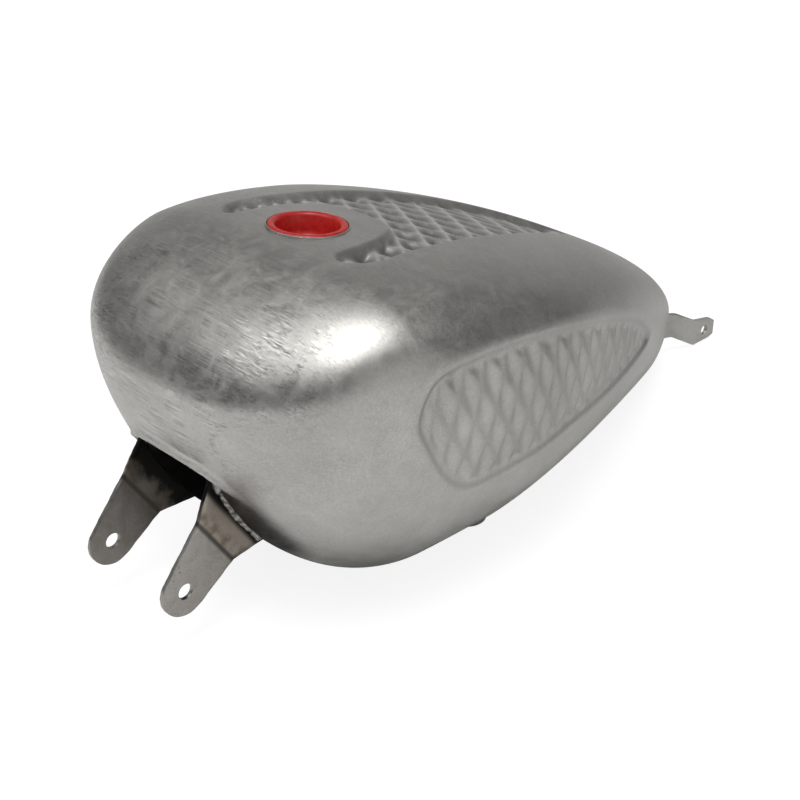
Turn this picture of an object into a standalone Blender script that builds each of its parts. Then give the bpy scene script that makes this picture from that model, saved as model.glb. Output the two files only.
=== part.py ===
"""A bare-steel teardrop fuel tank for a cruiser motorcycle, as separate welded pieces and shipping plugs.

Metres. +X is the tank's left side, +Y runs to the tail, +Z is up. The two lobes rest on z = 0 and x = 0 is
the plane of symmetry. Sizes here count y from the nose; the root empty then moves the whole tank, so that
the origin is midway between the ears' front and the rear tab's end.
"""

import math

import bmesh
import bpy
import numpy as np
from mathutils import Matrix, Vector

ROOT = "tank_frame"

# Body: a teardrop loft. Shares are of LENGTH, counted from the nose.
LENGTH = 0.520
HALF_WIDTH = 0.147
CREST_Z = 0.232
NOSE_Z = 0.162
TAIL_Z = 0.038
WAIST_Z = 0.154  # height of the widest line at WAIST_SHARE
WIDEST_SHARE = 0.375
CREST_SHARE = 0.18
KEEL_SHARE = 0.26  # where the sloping chin meets the level bottom
WAIST_SHARE = 0.45
TAIL_TUCK_SHARE = 0.10
LOBE_FLAT = 0.28  # share of the half width that is level under a lobe
UPPER_POWER = 2.9
LOWER_POWER = 1.9

SHEET = 0.0015
GAP = 0.0003  # clearance between neighbouring pieces
SIDE_RECESS_DEPTH = 0.003
TOP_RECESS_DEPTH = 0.005
RECESS_WALL = 0.010
RINGS = 44
SECTION_STEPS = 22

# Outlines of the pressed recesses: (y, z) on a side, and (x, y) on the left half of the top.
SIDE_RECESS = (
    (0.085, 0.158), (0.098, 0.184), (0.135, 0.190), (0.178, 0.187), (0.220, 0.179), (0.280, 0.158),
    (0.343, 0.128), (0.388, 0.099), (0.398, 0.086), (0.380, 0.079), (0.305, 0.085), (0.235, 0.093),
    (0.165, 0.088), (0.135, 0.089), (0.112, 0.106), (0.094, 0.134),
)
TOP_RECESS = (
    (0.000, 0.174), (0.016, 0.172), (0.030, 0.166), (0.040, 0.147), (0.045, 0.125), (0.047, 0.106),
    (0.054, 0.100), (0.064, 0.107), (0.069, 0.123), (0.067, 0.148), (0.065, 0.170), (0.059, 0.223),
    (0.054, 0.256), (0.045, 0.297), (0.030, 0.340), (0.012, 0.372), (0.000, 0.380),
)

# Tunnel for the frame's backbone tube
TUNNEL_HALF_FRONT, TUNNEL_HALF_REAR = 0.035, 0.013
TUNNEL_FRONT_Y, TUNNEL_TURN_Y, TUNNEL_END_Y = 0.010, 0.400, 0.462
TUNNEL_FRONT_Z, TUNNEL_TURN_Z = 0.112, 0.048
TUNNEL_CORNER = 0.014

# Filler neck and its plug
FILLER_Y = 0.1253
NECK_R, NECK_BORE_R, NECK_SEAT_R = 0.0268, 0.0225, 0.0259
NECK_DEPTH, NECK_SEAT_DEPTH, NECK_PROUD = 0.030, 0.0022, 0.0006
PLUG_FLANGE_R, PLUG_FLANGE_THICK = 0.0256, 0.0018
PLUG_R, PLUG_TIP_R, PLUG_DEPTH, PLUG_WALL = 0.0221, 0.0206, 0.016, 0.0017

# Front ears: (y, z) in the plane of the main plate
EAR_X = 0.0384
EAR_THICK = 0.003
EAR_HOLE = (-0.016, 0.0425)
EAR_HOLE_R = 0.0054
EAR_END_R = 0.017
EAR_CREASE = ((-0.0028, 0.0850), (0.0213, 0.0480))
EAR_ROOT = ((0.0105, 0.1090), (0.0452, 0.0490))
EAR_ROOT_X = 0.0350
EAR_WELD_R = 0.0036

# Rear tab: (x, y, z, height) of its stations
TAB_STATIONS = (
    (0.002, 0.500, 0.030, 0.022), (0.004, 0.528, 0.026, 0.022), (0.008, 0.541, 0.0200, 0.023),
    (0.012, 0.553, 0.0138, 0.0235), (0.012, 0.575, 0.0115, 0.019), (0.012, 0.582, 0.0100, 0.013),
)
TAB_THICK = 0.003
TAB_HOLE = (0.5676, 0.0117)
TAB_HOLE_R = 0.0043
TAB_WELD_Y = 0.560  # rays that find the tail start here

ORIGIN_Y = (EAR_HOLE[0] - EAR_END_R + TAB_STATIONS[-1][1]) / 2

# Fuel outlet, under the left lobe
OUTLET_X, OUTLET_Y, OUTLET_Z = 0.059, 0.213, 0.0014
BUNG_R, BUNG_BORE_R, BUNG_HEIGHT = 0.015, 0.0103, 0.013
OUTLET_PLUG_R, OUTLET_PLUG_HEIGHT = 0.0099, 0.010

# Breather
VENT_X, VENT_Y = 0.012, 0.175
VENT_R, VENT_BORE_R = 0.003, 0.002
VENT_TOP_Z, VENT_BELOW_ROOF = 0.210, 0.018
CAP_R, CAP_HEIGHT, CAP_FLOOR = 0.0048, 0.014, 0.002

BAFFLE_Y, BAFFLE_THICK, BAFFLE_INSET = 0.238, 0.0012, 0.0118
BAFFLE_HOLES = ((0.085, 0.075), (-0.085, 0.075), (0.045, 0.160), (-0.045, 0.160))
BAFFLE_HOLE_R = 0.016

WELD_R = 0.0012
SEAM_WELD_Y = (0.150, 0.410)
ROUND_STEPS = 40


# ---------------------------------------------------------------- body surface
def swell(share, peak, front_power, rear_power, rear_exponent, blunt=0.0):
    """0 at the nose, 1 at peak and 0 at the tail; blunt is the share that stays full up to the tail."""
    front = np.clip((peak - share) / peak, 0, 1)
    rear = np.clip((share - peak) / (1 - peak), 0, 1)
    nose = (1 - front**front_power) ** (1 / front_power)
    tail = (1 - blunt) * (1 - rear**rear_power) ** rear_exponent + blunt * np.sqrt(1 - rear**10)
    return np.where(share < peak, nose, tail)


def half_width(share):
    return HALF_WIDTH * swell(share, WIDEST_SHARE, 2.9, 1.4, 1.1, 0.12)


def top_z(share):
    base = np.where(share < CREST_SHARE, NOSE_Z, TAIL_Z)
    return base + (CREST_Z - base) * swell(share, CREST_SHARE, 1.55, 1.76, 0.764)


def bottom_z(share):
    chin = np.clip((KEEL_SHARE - share) / KEEL_SHARE, 0, 1)
    tuck = np.clip((share - 1 + TAIL_TUCK_SHARE) / TAIL_TUCK_SHARE, 0, 1)
    return NOSE_Z * (1 - (1 - chin**1.75) ** (1 / 1.75)) + TAIL_Z * (1 - np.sqrt(1 - tuck**2))


def waist_z(share):
    """A parabola through the nose, WAIST_Z and the tail, kept between the bottom and the top."""
    mid = WAIST_SHARE
    height = (
        NOSE_Z * (share - mid) * (share - 1) / mid
        + WAIST_Z * share * (share - 1) / (mid * (mid - 1))
        + TAIL_Z * share * (share - mid) / (1 - mid)
    )
    return np.clip(height, bottom_z(share), top_z(share))


def skin(share, angle):
    """Points of the left half: angle is -90 degrees under the centre line and 90 on top of it."""
    width, waist = half_width(share), waist_z(share)
    across, up = np.clip(np.cos(angle), 0, 1), np.sin(angle)
    power = np.where(up >= 0, UPPER_POWER, LOWER_POWER)
    flat = np.where(up >= 0, 0.0, LOBE_FLAT * np.clip(across * 1000, 0, 1))
    x = width * (flat + (1 - flat) * across ** (2 / power))
    reach = np.where(up >= 0, top_z(share) - waist, waist - bottom_z(share))
    z = waist + reach * np.sign(up) * np.abs(up) ** (2 / power)
    return np.stack(np.broadcast_arrays(x, LENGTH * share, z), -1)


def skin_normal(share, angle):
    step = 1e-4
    along = skin(np.minimum(share + step, 1), angle) - skin(np.maximum(share - step, 0), angle)
    round_it = skin(share, angle + step) - skin(share, angle - step)
    normal = np.cross(along, round_it)
    return normal / np.maximum(np.linalg.norm(normal, axis=-1, keepdims=True), 1e-12)


def is_inside(point):
    """Whether a point lies within the plain teardrop."""
    x, y, z = abs(point[0]), point[1], point[2]
    share = y / LENGTH
    if not 0 < share < 1:
        return False
    width, top, bottom, waist = (float(f(share)) for f in (half_width, top_z, bottom_z, waist_z))
    if not bottom < z < top or x > width:
        return False
    if z > waist:
        return (x / width) ** UPPER_POWER + ((z - waist) / (top - waist)) ** UPPER_POWER < 1
    across = max(0.0, (x / width - LOBE_FLAT) / (1 - LOBE_FLAT))
    return across**LOWER_POWER + ((waist - z) / (waist - bottom)) ** LOWER_POWER < 1


def reach_skin(start, direction, reach=0.12, steps=400):
    """The point where a line from outside the body first meets it."""
    start, direction = Vector(start), Vector(direction).normalized()
    for i in range(1, steps + 1):
        if is_inside(start + direction * (reach * i / steps)):
            low, high = reach * (i - 1) / steps, reach * i / steps
            for _ in range(20):
                middle = (low + high) / 2
                low, high = (low, middle) if is_inside(start + direction * middle) else (middle, high)
            return start + direction * high
    raise ValueError("the line misses the body")


def smooth_outline(corners, closed=True, steps=5):
    """A Catmull-Rom curve through the corners."""
    corners = np.array(corners)
    count = len(corners)
    points = []
    for i in range(count if closed else count - 1):
        index = [i - 1, i, i + 1, i + 2]
        index = [k % count for k in index] if closed else [min(max(k, 0), count - 1) for k in index]
        p0, p1, p2, p3 = corners[index]
        for s in np.arange(steps) / steps:
            points.append(
                0.5 * (2 * p1 + (p2 - p0) * s + (2 * p0 - 5 * p1 + 4 * p2 - p3) * s**2
                       + (3 * p1 - p0 - 3 * p2 + p3) * s**3)
            )
    return np.array(points)


def depth_inside(points, outline):
    """Distance in from the outline for points within it, and 0 outside."""
    a, b = outline, np.roll(outline, -1, axis=0)
    edge = b - a
    offset = points[..., None, :] - a
    along = np.clip((offset * edge).sum(-1) / (edge**2).sum(-1), 0, 1)
    distance = np.linalg.norm(offset - along[..., None] * edge, axis=-1).min(-1)
    y, ya, yb = points[..., None, 1], a[:, 1], b[:, 1]
    crosses = (ya > y) != (yb > y)
    slope = np.where(crosses, (y - ya) / np.where(yb == ya, 1, yb - ya), 0)
    left_of = points[..., None, 0] < a[:, 0] + slope * edge[:, 0]
    inside = (crosses & left_of).sum(-1) % 2 == 1
    return np.where(inside, distance, 0)


def recess_depth(points):
    """How far the press has pushed the skin in at these points of the left half."""
    top = smooth_outline(TOP_RECESS, closed=False)
    both_halves = np.concatenate([top, top[:0:-1] * (-1, 1)])
    side_in = depth_inside(points[..., 1:], smooth_outline(SIDE_RECESS))
    top_in = depth_inside(points[..., :2], both_halves)
    share = np.clip(np.where(points[..., 0] > 0.075, side_in, 0) / RECESS_WALL, 0, 1)
    on_top = points[..., 2] > waist_z(np.clip(points[..., 1] / LENGTH, 0, 1))
    share_top = np.clip(np.where(on_top, top_in, 0) / RECESS_WALL, 0, 1)
    return np.maximum(SIDE_RECESS_DEPTH * smooth(share), TOP_RECESS_DEPTH * smooth(share_top))


def smooth(share):
    return share * share * (3 - 2 * share)


# ---------------------------------------------------------------- scene helpers
def clear_scene():
    for obj in list(bpy.data.objects):
        bpy.data.objects.remove(obj, do_unlink=True)


def new_collection(name):
    collection = bpy.data.collections.new(name)
    bpy.context.scene.collection.children.link(collection)
    return collection


def material(name, color, roughness, metallic):
    made = bpy.data.materials.new(name)
    made.use_nodes = True
    shader = made.node_tree.nodes["Principled BSDF"]
    shader.inputs["Base Color"].default_value = (*color, 1)
    shader.inputs["Roughness"].default_value = roughness
    shader.inputs["Metallic"].default_value = metallic
    return made


def add_object(name, mesh, collection, surface):
    obj = bpy.data.objects.new(name, mesh)
    obj.parent = bpy.data.objects[ROOT]
    collection.objects.link(obj)
    if surface:
        mesh.materials.append(surface)
        mesh.shade_smooth()
        mesh.set_sharp_from_angle(angle=math.radians(35))
    return obj


def mesh_object(name, vertices, faces, collection, surface=None):
    mesh = bpy.data.meshes.new(name)
    mesh.from_pydata([tuple(v) for v in vertices], [], faces)
    return add_object(name, mesh, collection, surface)


def from_bmesh(name, built, collection, surface=None):
    mesh = bpy.data.meshes.new(name)
    built.to_mesh(mesh)
    built.free()
    return add_object(name, mesh, collection, surface)


def as_cutter(obj):
    obj.hide_render = True
    obj.display_type = "WIRE"
    return obj


def boolean(obj, other, operation="DIFFERENCE"):
    modifier = obj.modifiers.new(operation.title(), "BOOLEAN")
    modifier.object = other
    modifier.operation = operation
    modifier.solver = "EXACT"


def solidify(obj, thickness, offset):
    modifier = obj.modifiers.new("Solidify", "SOLIDIFY")
    modifier.thickness = thickness
    modifier.offset = offset
    modifier.use_even_offset = True


def cylinder(name, radius, low, high, collection, surface=None, place=Matrix.Identity(4)):
    """A cylinder along the local Z axis of place, from low to high."""
    built = bmesh.new()
    bmesh.ops.create_cone(
        built, cap_ends=True, segments=ROUND_STEPS, radius1=radius, radius2=radius, depth=high - low
    )
    bmesh.ops.translate(built, verts=built.verts, vec=(0, 0, (low + high) / 2))
    obj = from_bmesh(name, built, collection, surface)
    obj.matrix_basis = place
    return obj


def block(name, low, high, collection):
    built = bmesh.new()
    bmesh.ops.create_cube(built, size=1)
    size = Vector(high) - Vector(low)
    bmesh.ops.scale(built, verts=built.verts, vec=size)
    bmesh.ops.translate(built, verts=built.verts, vec=Vector(low) + size / 2)
    return as_cutter(from_bmesh(name, built, collection))


def turned(name, profile, place, collection, surface, closed=True):
    """Turn (radius, height) points about Z: a ring's closed section, or a line that ends on the axis."""
    count = len(profile)
    edges = [(i, (i + 1) % count) for i in range(count if closed else count - 1)]
    mesh = bpy.data.meshes.new(name)
    mesh.from_pydata([(r, 0, z) for r, z in profile], edges, [])
    obj = add_object(name, mesh, collection, surface)
    screw = obj.modifiers.new("Screw", "SCREW")
    screw.steps = screw.render_steps = ROUND_STEPS
    screw.use_merge_vertices = True
    screw.merge_threshold = 0.00001
    screw.use_smooth_shade = True
    obj.matrix_basis = place
    return obj


def bead(name, points, radius, collection, surface=None, cyclic=False):
    """A round bead of weld along the points, as a mesh."""
    curve = bpy.data.curves.new(name, "CURVE")
    curve.dimensions = "3D"
    curve.bevel_depth = radius
    curve.bevel_resolution = 1
    curve.use_fill_caps = True
    spline = curve.splines.new("POLY")
    spline.points.add(len(points) - 1)
    for spot, point in zip(spline.points, points):
        spot.co = (*point, 1)
    spline.use_cyclic_u = cyclic
    guide = bpy.data.objects.new(name + "_guide", curve)
    collection.objects.link(guide)
    bpy.context.view_layer.update()
    mesh = bpy.data.meshes.new_from_object(guide.evaluated_get(bpy.context.evaluated_depsgraph_get()))
    mesh.name = name
    mesh.transform(guide.matrix_world)
    bpy.data.objects.remove(guide)
    built = bmesh.new()
    built.from_mesh(mesh)
    bmesh.ops.remove_doubles(built, verts=built.verts, dist=0.00001)
    bmesh.ops.recalc_face_normals(built, faces=built.faces)
    bpy.data.meshes.remove(mesh)
    return from_bmesh(name, built, collection, surface)


def grid_faces(rows, columns, closed=False):
    """Quads of a grid of points that is listed row by row."""
    faces = []
    for i in range(rows - 1):
        for j in range(columns if closed else columns - 1):
            k = (j + 1) % columns
            faces.append((i * columns + j, (i + 1) * columns + j, (i + 1) * columns + k, i * columns + k))
    return faces


# ---------------------------------------------------------------- body
def ring_shares():
    """Where along the body its sections stand, closer together at both ends."""
    return (1 - np.cos(np.linspace(0, math.pi, RINGS + 1)[1:-1])) / 2


def section_angles():
    """Angles of a section's corners; the first two bound the level strip under a lobe."""
    return np.radians([-90] + list(np.linspace(-89.9, 90, SECTION_STEPS)))


def shell(name, side, collection, surface):
    """Half of the body's skin, side 1 for the left and -1 for the right."""
    shares = ring_shares()[:, None]
    angles = section_angles()[None, :]
    points = skin(shares, angles)
    points = points - skin_normal(shares, angles) * recess_depth(points)[..., None]
    rows, columns = points.shape[:2]
    vertices = [p for p in points.reshape(-1, 3)] + [(0, 0, NOSE_Z), (0, LENGTH, TAIL_Z)]
    nose, tail = rows * columns, rows * columns + 1
    faces = grid_faces(rows, columns)
    last = (rows - 1) * columns
    faces += [(nose, j, j + 1) for j in range(columns - 1)]
    faces += [(tail, last + j + 1, last + j) for j in range(columns - 1)]
    if side < 0:
        vertices = [(-x, y, z) for x, y, z in vertices]
        faces = [face[::-1] for face in faces]
    obj = mesh_object(name, vertices, faces, collection, surface)
    solidify(obj, SHEET, -1)
    return obj


def solid_body(name, grow, collection):
    """The whole teardrop as one solid, for trimming the pieces that meet it."""
    shares = ring_shares()[:, None]
    angles = section_angles()[None, :]
    left = skin(shares, angles) + skin_normal(shares, angles) * grow
    left[:, (0, -1), 0] = 0
    right = left[:, -2:0:-1] * (-1, 1, 1)
    points = np.concatenate([left, right], axis=1)
    rows, columns = points.shape[:2]
    vertices = [p for p in points.reshape(-1, 3)]
    vertices += [(0, -grow, NOSE_Z), (0, LENGTH + grow, TAIL_Z)]
    nose, tail, last = rows * columns, rows * columns + 1, (rows - 1) * columns
    faces = grid_faces(rows, columns, closed=True)
    faces += [(nose, j, (j + 1) % columns) for j in range(columns)]
    faces += [(tail, last + (j + 1) % columns, last + j) for j in range(columns)]
    return as_cutter(mesh_object(name, vertices, faces, collection))


# ---------------------------------------------------------------- tunnel
def tunnel_half(y):
    share = (y - TUNNEL_FRONT_Y) / (TUNNEL_END_Y - TUNNEL_FRONT_Y)
    return TUNNEL_HALF_FRONT + (TUNNEL_HALF_REAR - TUNNEL_HALF_FRONT) * min(max(share, 0), 1)


def roof_z(y):
    slope = (TUNNEL_TURN_Z - TUNNEL_FRONT_Z) / (TUNNEL_TURN_Y - TUNNEL_FRONT_Y)
    if y <= TUNNEL_TURN_Y:
        return TUNNEL_FRONT_Z + slope * (y - TUNNEL_FRONT_Y)
    fall = (y - TUNNEL_TURN_Y) / (TUNNEL_END_Y - TUNNEL_TURN_Y)
    return (TUNNEL_TURN_Z + 0.008) * math.sqrt(max(0, 1 - fall**2)) - 0.008


def tunnel_section(y, grow, foot):
    """The inverted U at y: right foot, over the roof, to the left foot."""
    half, roof = tunnel_half(y) + grow, roof_z(y) + grow
    corner = min(TUNNEL_CORNER, half * 0.6, max(roof - foot, 0.004) * 0.45)
    turn = np.linspace(0, math.pi / 2, 5)
    over = [(half - corner + corner * math.cos(a), roof - corner + corner * math.sin(a)) for a in turn]
    left = [(half, foot), (half, (foot + roof - corner) / 2)] + over
    right = [(-x, z) for x, z in left][::-1]
    return [(x, y, z) for x, z in left + [(0, roof)] + right]


def tunnel_ys():
    straight = np.linspace(-0.045, TUNNEL_TURN_Y, 9)
    fall = TUNNEL_TURN_Y + (TUNNEL_END_Y - TUNNEL_TURN_Y) * np.sin(np.linspace(0.15, 1, 7) * math.pi / 2)
    return list(straight) + list(fall)


def tunnel(collection, surface, body):
    """The channel's sheet, trimmed to the body's outer surface."""
    rows = [tunnel_section(float(y), 0, -0.014) for y in tunnel_ys()]
    points = [p for row in rows for p in row]
    faces = grid_faces(len(rows), len(rows[0]))
    obj = mesh_object("tunnel", points, faces, collection, surface)
    solidify(obj, SHEET, -1)
    boolean(obj, body, "INTERSECT")
    return obj


def tunnel_cutter(name, grow, collection):
    """The tunnel's space, grown on all sides and open below the body."""
    rows = [tunnel_section(float(y), grow, -0.030) for y in tunnel_ys()]
    rows[-1] = [(x, y + grow, z) for x, y, z in rows[-1]]
    columns = len(rows[0])
    points = [p for row in rows for p in row]
    faces = grid_faces(len(rows), columns, closed=True)
    faces += [tuple(range(columns)), tuple(range(len(points) - 1, len(points) - columns - 1, -1))]
    return as_cutter(mesh_object(name, points, faces, collection))


# ---------------------------------------------------------------- filler
def filler_place():
    """The neck's frame: its origin on the top skin and its Z axis along the skin's normal."""
    share = np.array(FILLER_Y / LENGTH)
    step = 0.002
    rise = float(top_z(share + step) - top_z(share - step)) / (2 * step * LENGTH)
    tilt = math.atan(-rise)
    place = Matrix.Translation((0, FILLER_Y, float(top_z(share))))
    return place @ Matrix.Rotation(-tilt, 4, "X")


def filler_neck(place, collection, surface):
    seat_z = NECK_PROUD - NECK_SEAT_DEPTH
    profile = (
        (NECK_R, NECK_PROUD), (NECK_R, -NECK_DEPTH), (NECK_BORE_R, -NECK_DEPTH), (NECK_BORE_R, seat_z),
        (NECK_SEAT_R, seat_z), (NECK_SEAT_R, NECK_PROUD),
    )
    return turned("filler_neck", profile, place, collection, surface)


def filler_plug(place, collection, surface):
    """A dished push-in plug: a flange on the neck's seat and a tapered cup in its bore."""
    low = NECK_PROUD - NECK_SEAT_DEPTH + GAP
    high = low + PLUG_FLANGE_THICK
    floor = low - PLUG_DEPTH
    inner = PLUG_R - PLUG_WALL
    profile = (
        (0, floor + PLUG_WALL), (PLUG_TIP_R - PLUG_WALL, floor + PLUG_WALL), (inner, high - 0.001),
        (inner + 0.0015, high), (PLUG_FLANGE_R, high), (PLUG_FLANGE_R, low), (PLUG_R, low),
        (PLUG_TIP_R, floor), (0, floor),
    )
    return turned("filler_plug", profile, place, collection, surface, closed=False)


def top_point(x, y, inset):
    """A point under the top skin at x, y; inset is measured along the skin's normal."""
    share = y / LENGTH
    across = min(abs(x) / float(half_width(share)), 1) ** (UPPER_POWER / 2)
    angle = np.array(math.acos(across))
    point = skin(share, angle)
    point = point - skin_normal(share, angle) * (inset + recess_depth(point))
    return (math.copysign(point[0], x), point[1], point[2])


def height_over_bottom(x, y, inset):
    """The height at x, y that clears the bottom skin by inset, measured square to the skin."""
    share = y / LENGTH
    across = (x / float(half_width(share)) - LOBE_FLAT) / (1 - LOBE_FLAT)
    angle = np.array(-math.acos(max(across, 0) ** (LOWER_POWER / 2)))
    return skin(share, angle)[2] - inset / skin_normal(share, angle)[2]


def filler_weld(place, collection, surface):
    radius = NECK_R + 2 * GAP + WELD_R
    points = []
    for angle in np.linspace(0, 2 * math.pi, ROUND_STEPS + 1)[:-1]:
        spot = place @ Vector((radius * math.cos(angle), radius * math.sin(angle), 0))
        points.append(top_point(spot.x, spot.y, SHEET + 4 * GAP + WELD_R))
    return bead("filler_weld", points, WELD_R, collection, surface, cyclic=True)


# ---------------------------------------------------------------- ears
def tangent_angle(point, turn):
    """Where a line from the point touches the ear's round end."""
    offset = np.array(point) - EAR_HOLE
    return math.atan2(offset[1], offset[0]) + turn * math.acos(EAR_END_R / np.linalg.norm(offset))


def past_root(i, reach):
    """A corner of the ear's root part, reach being 1 on the skin."""
    crease, root = np.array(EAR_CREASE[i]), np.array(EAR_ROOT[i])
    y, z = crease + (root - crease) * reach
    return Vector((EAR_X + (EAR_ROOT_X - EAR_X) * reach, y, z))


def ear(name, side, body, cutters, collection, surface):
    """A plate bent at the crease, its root trimmed to the skin."""
    front, rear = tangent_angle(EAR_CREASE[0], 1), tangent_angle(EAR_CREASE[1], -1) + 2 * math.pi
    turn = np.linspace(front, rear, 16)
    end = [(EAR_HOLE[0] + EAR_END_R * math.cos(a), EAR_HOLE[1] + EAR_END_R * math.sin(a)) for a in turn]
    plate = [(EAR_X, y, z) for y, z in [EAR_CREASE[0]] + end + [EAR_CREASE[1]]]
    vertices = plate + [past_root(1, 1.45), past_root(0, 1.45)]
    count = len(plate)
    faces = [tuple(range(count)), (count - 1, count, count + 1, 0)]
    vertices = [(side * x, y, z) for x, y, z in vertices]
    faces = faces if side > 0 else [face[::-1] for face in faces]
    obj = mesh_object(name, vertices, faces, collection, surface)
    solidify(obj, EAR_THICK, 0)
    boolean(obj, body)
    place = Matrix.Translation((side * EAR_X, *EAR_HOLE)) @ Matrix.Rotation(math.pi / 2, 4, "Y")
    boolean(obj, as_cutter(cylinder(name + "_hole", EAR_HOLE_R, -0.01, 0.01, cutters, place=place)))
    return obj


def ear_weld(name, side, body, cutters, collection, surface):
    """A bead on the outer side of an ear's root."""
    points = []
    for share in np.linspace(0.03, 0.95, 16):
        height = EAR_ROOT[0][1] + (EAR_ROOT[1][1] - EAR_ROOT[0][1]) * share
        points.append(reach_skin((side * (EAR_ROOT_X + EAR_THICK / 2), -0.06, height), (0, 1, 0)))
    obj = bead(name, points, EAR_WELD_R, collection, surface)
    middle = (past_root(0, 1) + past_root(1, 1)) / 2
    along_crease = past_root(1, 0) - past_root(0, 0)
    outward = (past_root(0, 1) - past_root(0, 0)).cross(along_crease)
    if outward.x < 0:
        outward = -outward
    middle.x *= side
    outward.x *= side
    slab = block(name + "_slab", (-0.2, -0.2, -0.03), (0.2, 0.2, EAR_THICK / 2 + GAP), cutters)
    slab.matrix_basis = Matrix.Translation(middle) @ outward.to_track_quat("Z", "Y").to_matrix().to_4x4()
    boolean(obj, body)
    boolean(obj, slab)
    return obj


def mouth_weld(body, collection, surface):
    """The bead over the edge where the tunnel's roof meets the skins."""
    height = TUNNEL_FRONT_Z + 0.0005
    points = [reach_skin((x, -0.05, height), (0, 1, 0)) for x in np.linspace(-0.0305, 0.0305, 17)]
    obj = bead("mouth_weld", points, 0.0018, collection, surface)
    boolean(obj, body)
    return obj


# ---------------------------------------------------------------- rear tab
def tab_strip(name, grow, collection, surface=None):
    vertices = []
    for x, y, z, height in TAB_STATIONS:
        vertices += [(x, y, z - height / 2 - grow), (x, y, z + height / 2 + grow)]
    obj = mesh_object(name, vertices, grid_faces(len(TAB_STATIONS), 2), collection, surface)
    solidify(obj, TAB_THICK + 2 * grow, 0)
    return obj


def rear_tab(body, cutters, collection, surface):
    obj = tab_strip("rear_tab", 0, collection, surface)
    boolean(obj, body)
    place = Matrix.Translation((TAB_STATIONS[-1][0], *TAB_HOLE)) @ Matrix.Rotation(math.pi / 2, 4, "Y")
    boolean(obj, as_cutter(cylinder("tab_hole", TAB_HOLE_R, -0.01, 0.01, cutters, place=place)))
    return obj


def rear_tab_weld(body, cutters, collection, surface):
    """A bead on the tail all round the tab."""
    centre_x, centre_z, aside, half = 0.0033, 0.0280, 0.0032, 0.0100
    loop = [(centre_x + aside, centre_z + z) for z in np.linspace(-half, half, 7)]
    for angle in np.radians((45, 90, 135)):
        loop.append((centre_x + aside * math.cos(angle), centre_z + half + aside * math.sin(angle)))
    loop += [(2 * centre_x - x, 2 * centre_z - z) for x, z in loop]
    points = [reach_skin((x, TAB_WELD_Y, z), (0, -1, 0)) for x, z in loop]
    obj = bead("rear_tab_weld", points, 0.0016, collection, surface, cyclic=True)
    boolean(obj, body)
    boolean(obj, as_cutter(tab_strip("tab_clearance", GAP, cutters)))
    return obj


# ---------------------------------------------------------------- inside
def seam_line(low_y, high_y, angle):
    """Points inside the seam, under the skins' own rings of corners so that the bead follows them."""
    points = []
    for share in ring_shares():
        if low_y < LENGTH * share < high_y:
            point = skin(share, np.array(angle))
            inset = SHEET + GAP + WELD_R + recess_depth(point)
            point = point - skin_normal(share, np.array(angle)) * inset
            points.append((0, point[1], point[2]))
    return points


def centre_welds(collection, surface):
    """The inner beads of the seam that joins the two skins."""
    up, down = math.pi / 2, -math.pi / 2
    front = seam_line(0, 0.0075, down)[::-1] + seam_line(0, 0.095, up)
    bead("centre_weld_front", front, WELD_R, collection, surface)
    rear = seam_line(0.156, 0.5165, up) + seam_line(0.472, 0.5165, down)[::-1]
    bead("centre_weld_rear", rear, WELD_R, collection, surface)


def tunnel_welds(collection, surface):
    radius = 0.0015
    for name, side in (("tunnel_weld_left", 1), ("tunnel_weld_right", -1)):
        points = []
        for y in np.linspace(*SEAM_WELD_Y, 9):
            points.append((side * (tunnel_half(y) + radius + 2 * GAP), y, SHEET + radius + 0.0005))
        bead(name, points, radius, collection, surface)


def slosh_baffle(tunnel_space, cutters, collection, surface):
    share = BAFFLE_Y / LENGTH
    left = skin(share, section_angles()) - skin_normal(share, section_angles()) * BAFFLE_INSET
    left[:, 1] = BAFFLE_Y
    left[(0, -1), 0] = 0
    points = list(left) + list(left[-2:0:-1] * (-1, 1, 1))
    obj = mesh_object("slosh_baffle", points, [tuple(range(len(points)))], collection, surface)
    solidify(obj, BAFFLE_THICK, 0)
    boolean(obj, tunnel_space)
    for i, (x, z) in enumerate(BAFFLE_HOLES):
        place = Matrix.Translation((x, BAFFLE_Y, z)) @ Matrix.Rotation(math.pi / 2, 4, "X")
        hole = cylinder(f"baffle_hole_{i + 1}", BAFFLE_HOLE_R, -0.01, 0.01, cutters, place=place)
        boolean(obj, as_cutter(hole))
    return obj


# ---------------------------------------------------------------- outlet and breather
def outlet(collection, steel, weld, plastic):
    place = Matrix.Translation((OUTLET_X, OUTLET_Y, OUTLET_Z))
    bung = ((BUNG_R, BUNG_HEIGHT), (BUNG_R, 0), (BUNG_BORE_R, 0), (BUNG_BORE_R, BUNG_HEIGHT))
    turned("outlet_bung", bung, place, collection, steel)
    plug = ((0, OUTLET_PLUG_HEIGHT), (OUTLET_PLUG_R, OUTLET_PLUG_HEIGHT), (OUTLET_PLUG_R, 0), (0, 0))
    turned("outlet_plug", plug, place, collection, plastic, closed=False)
    radius = BUNG_R + GAP + WELD_R
    points = []
    for angle in np.linspace(0, 2 * math.pi, ROUND_STEPS + 1)[:-1]:
        x, y = OUTLET_X + radius * math.cos(angle), OUTLET_Y + radius * math.sin(angle)
        points.append((x, y, height_over_bottom(x, y, SHEET + 3 * GAP + WELD_R)))
    bead("outlet_weld", points, WELD_R, collection, weld, cyclic=True)


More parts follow.
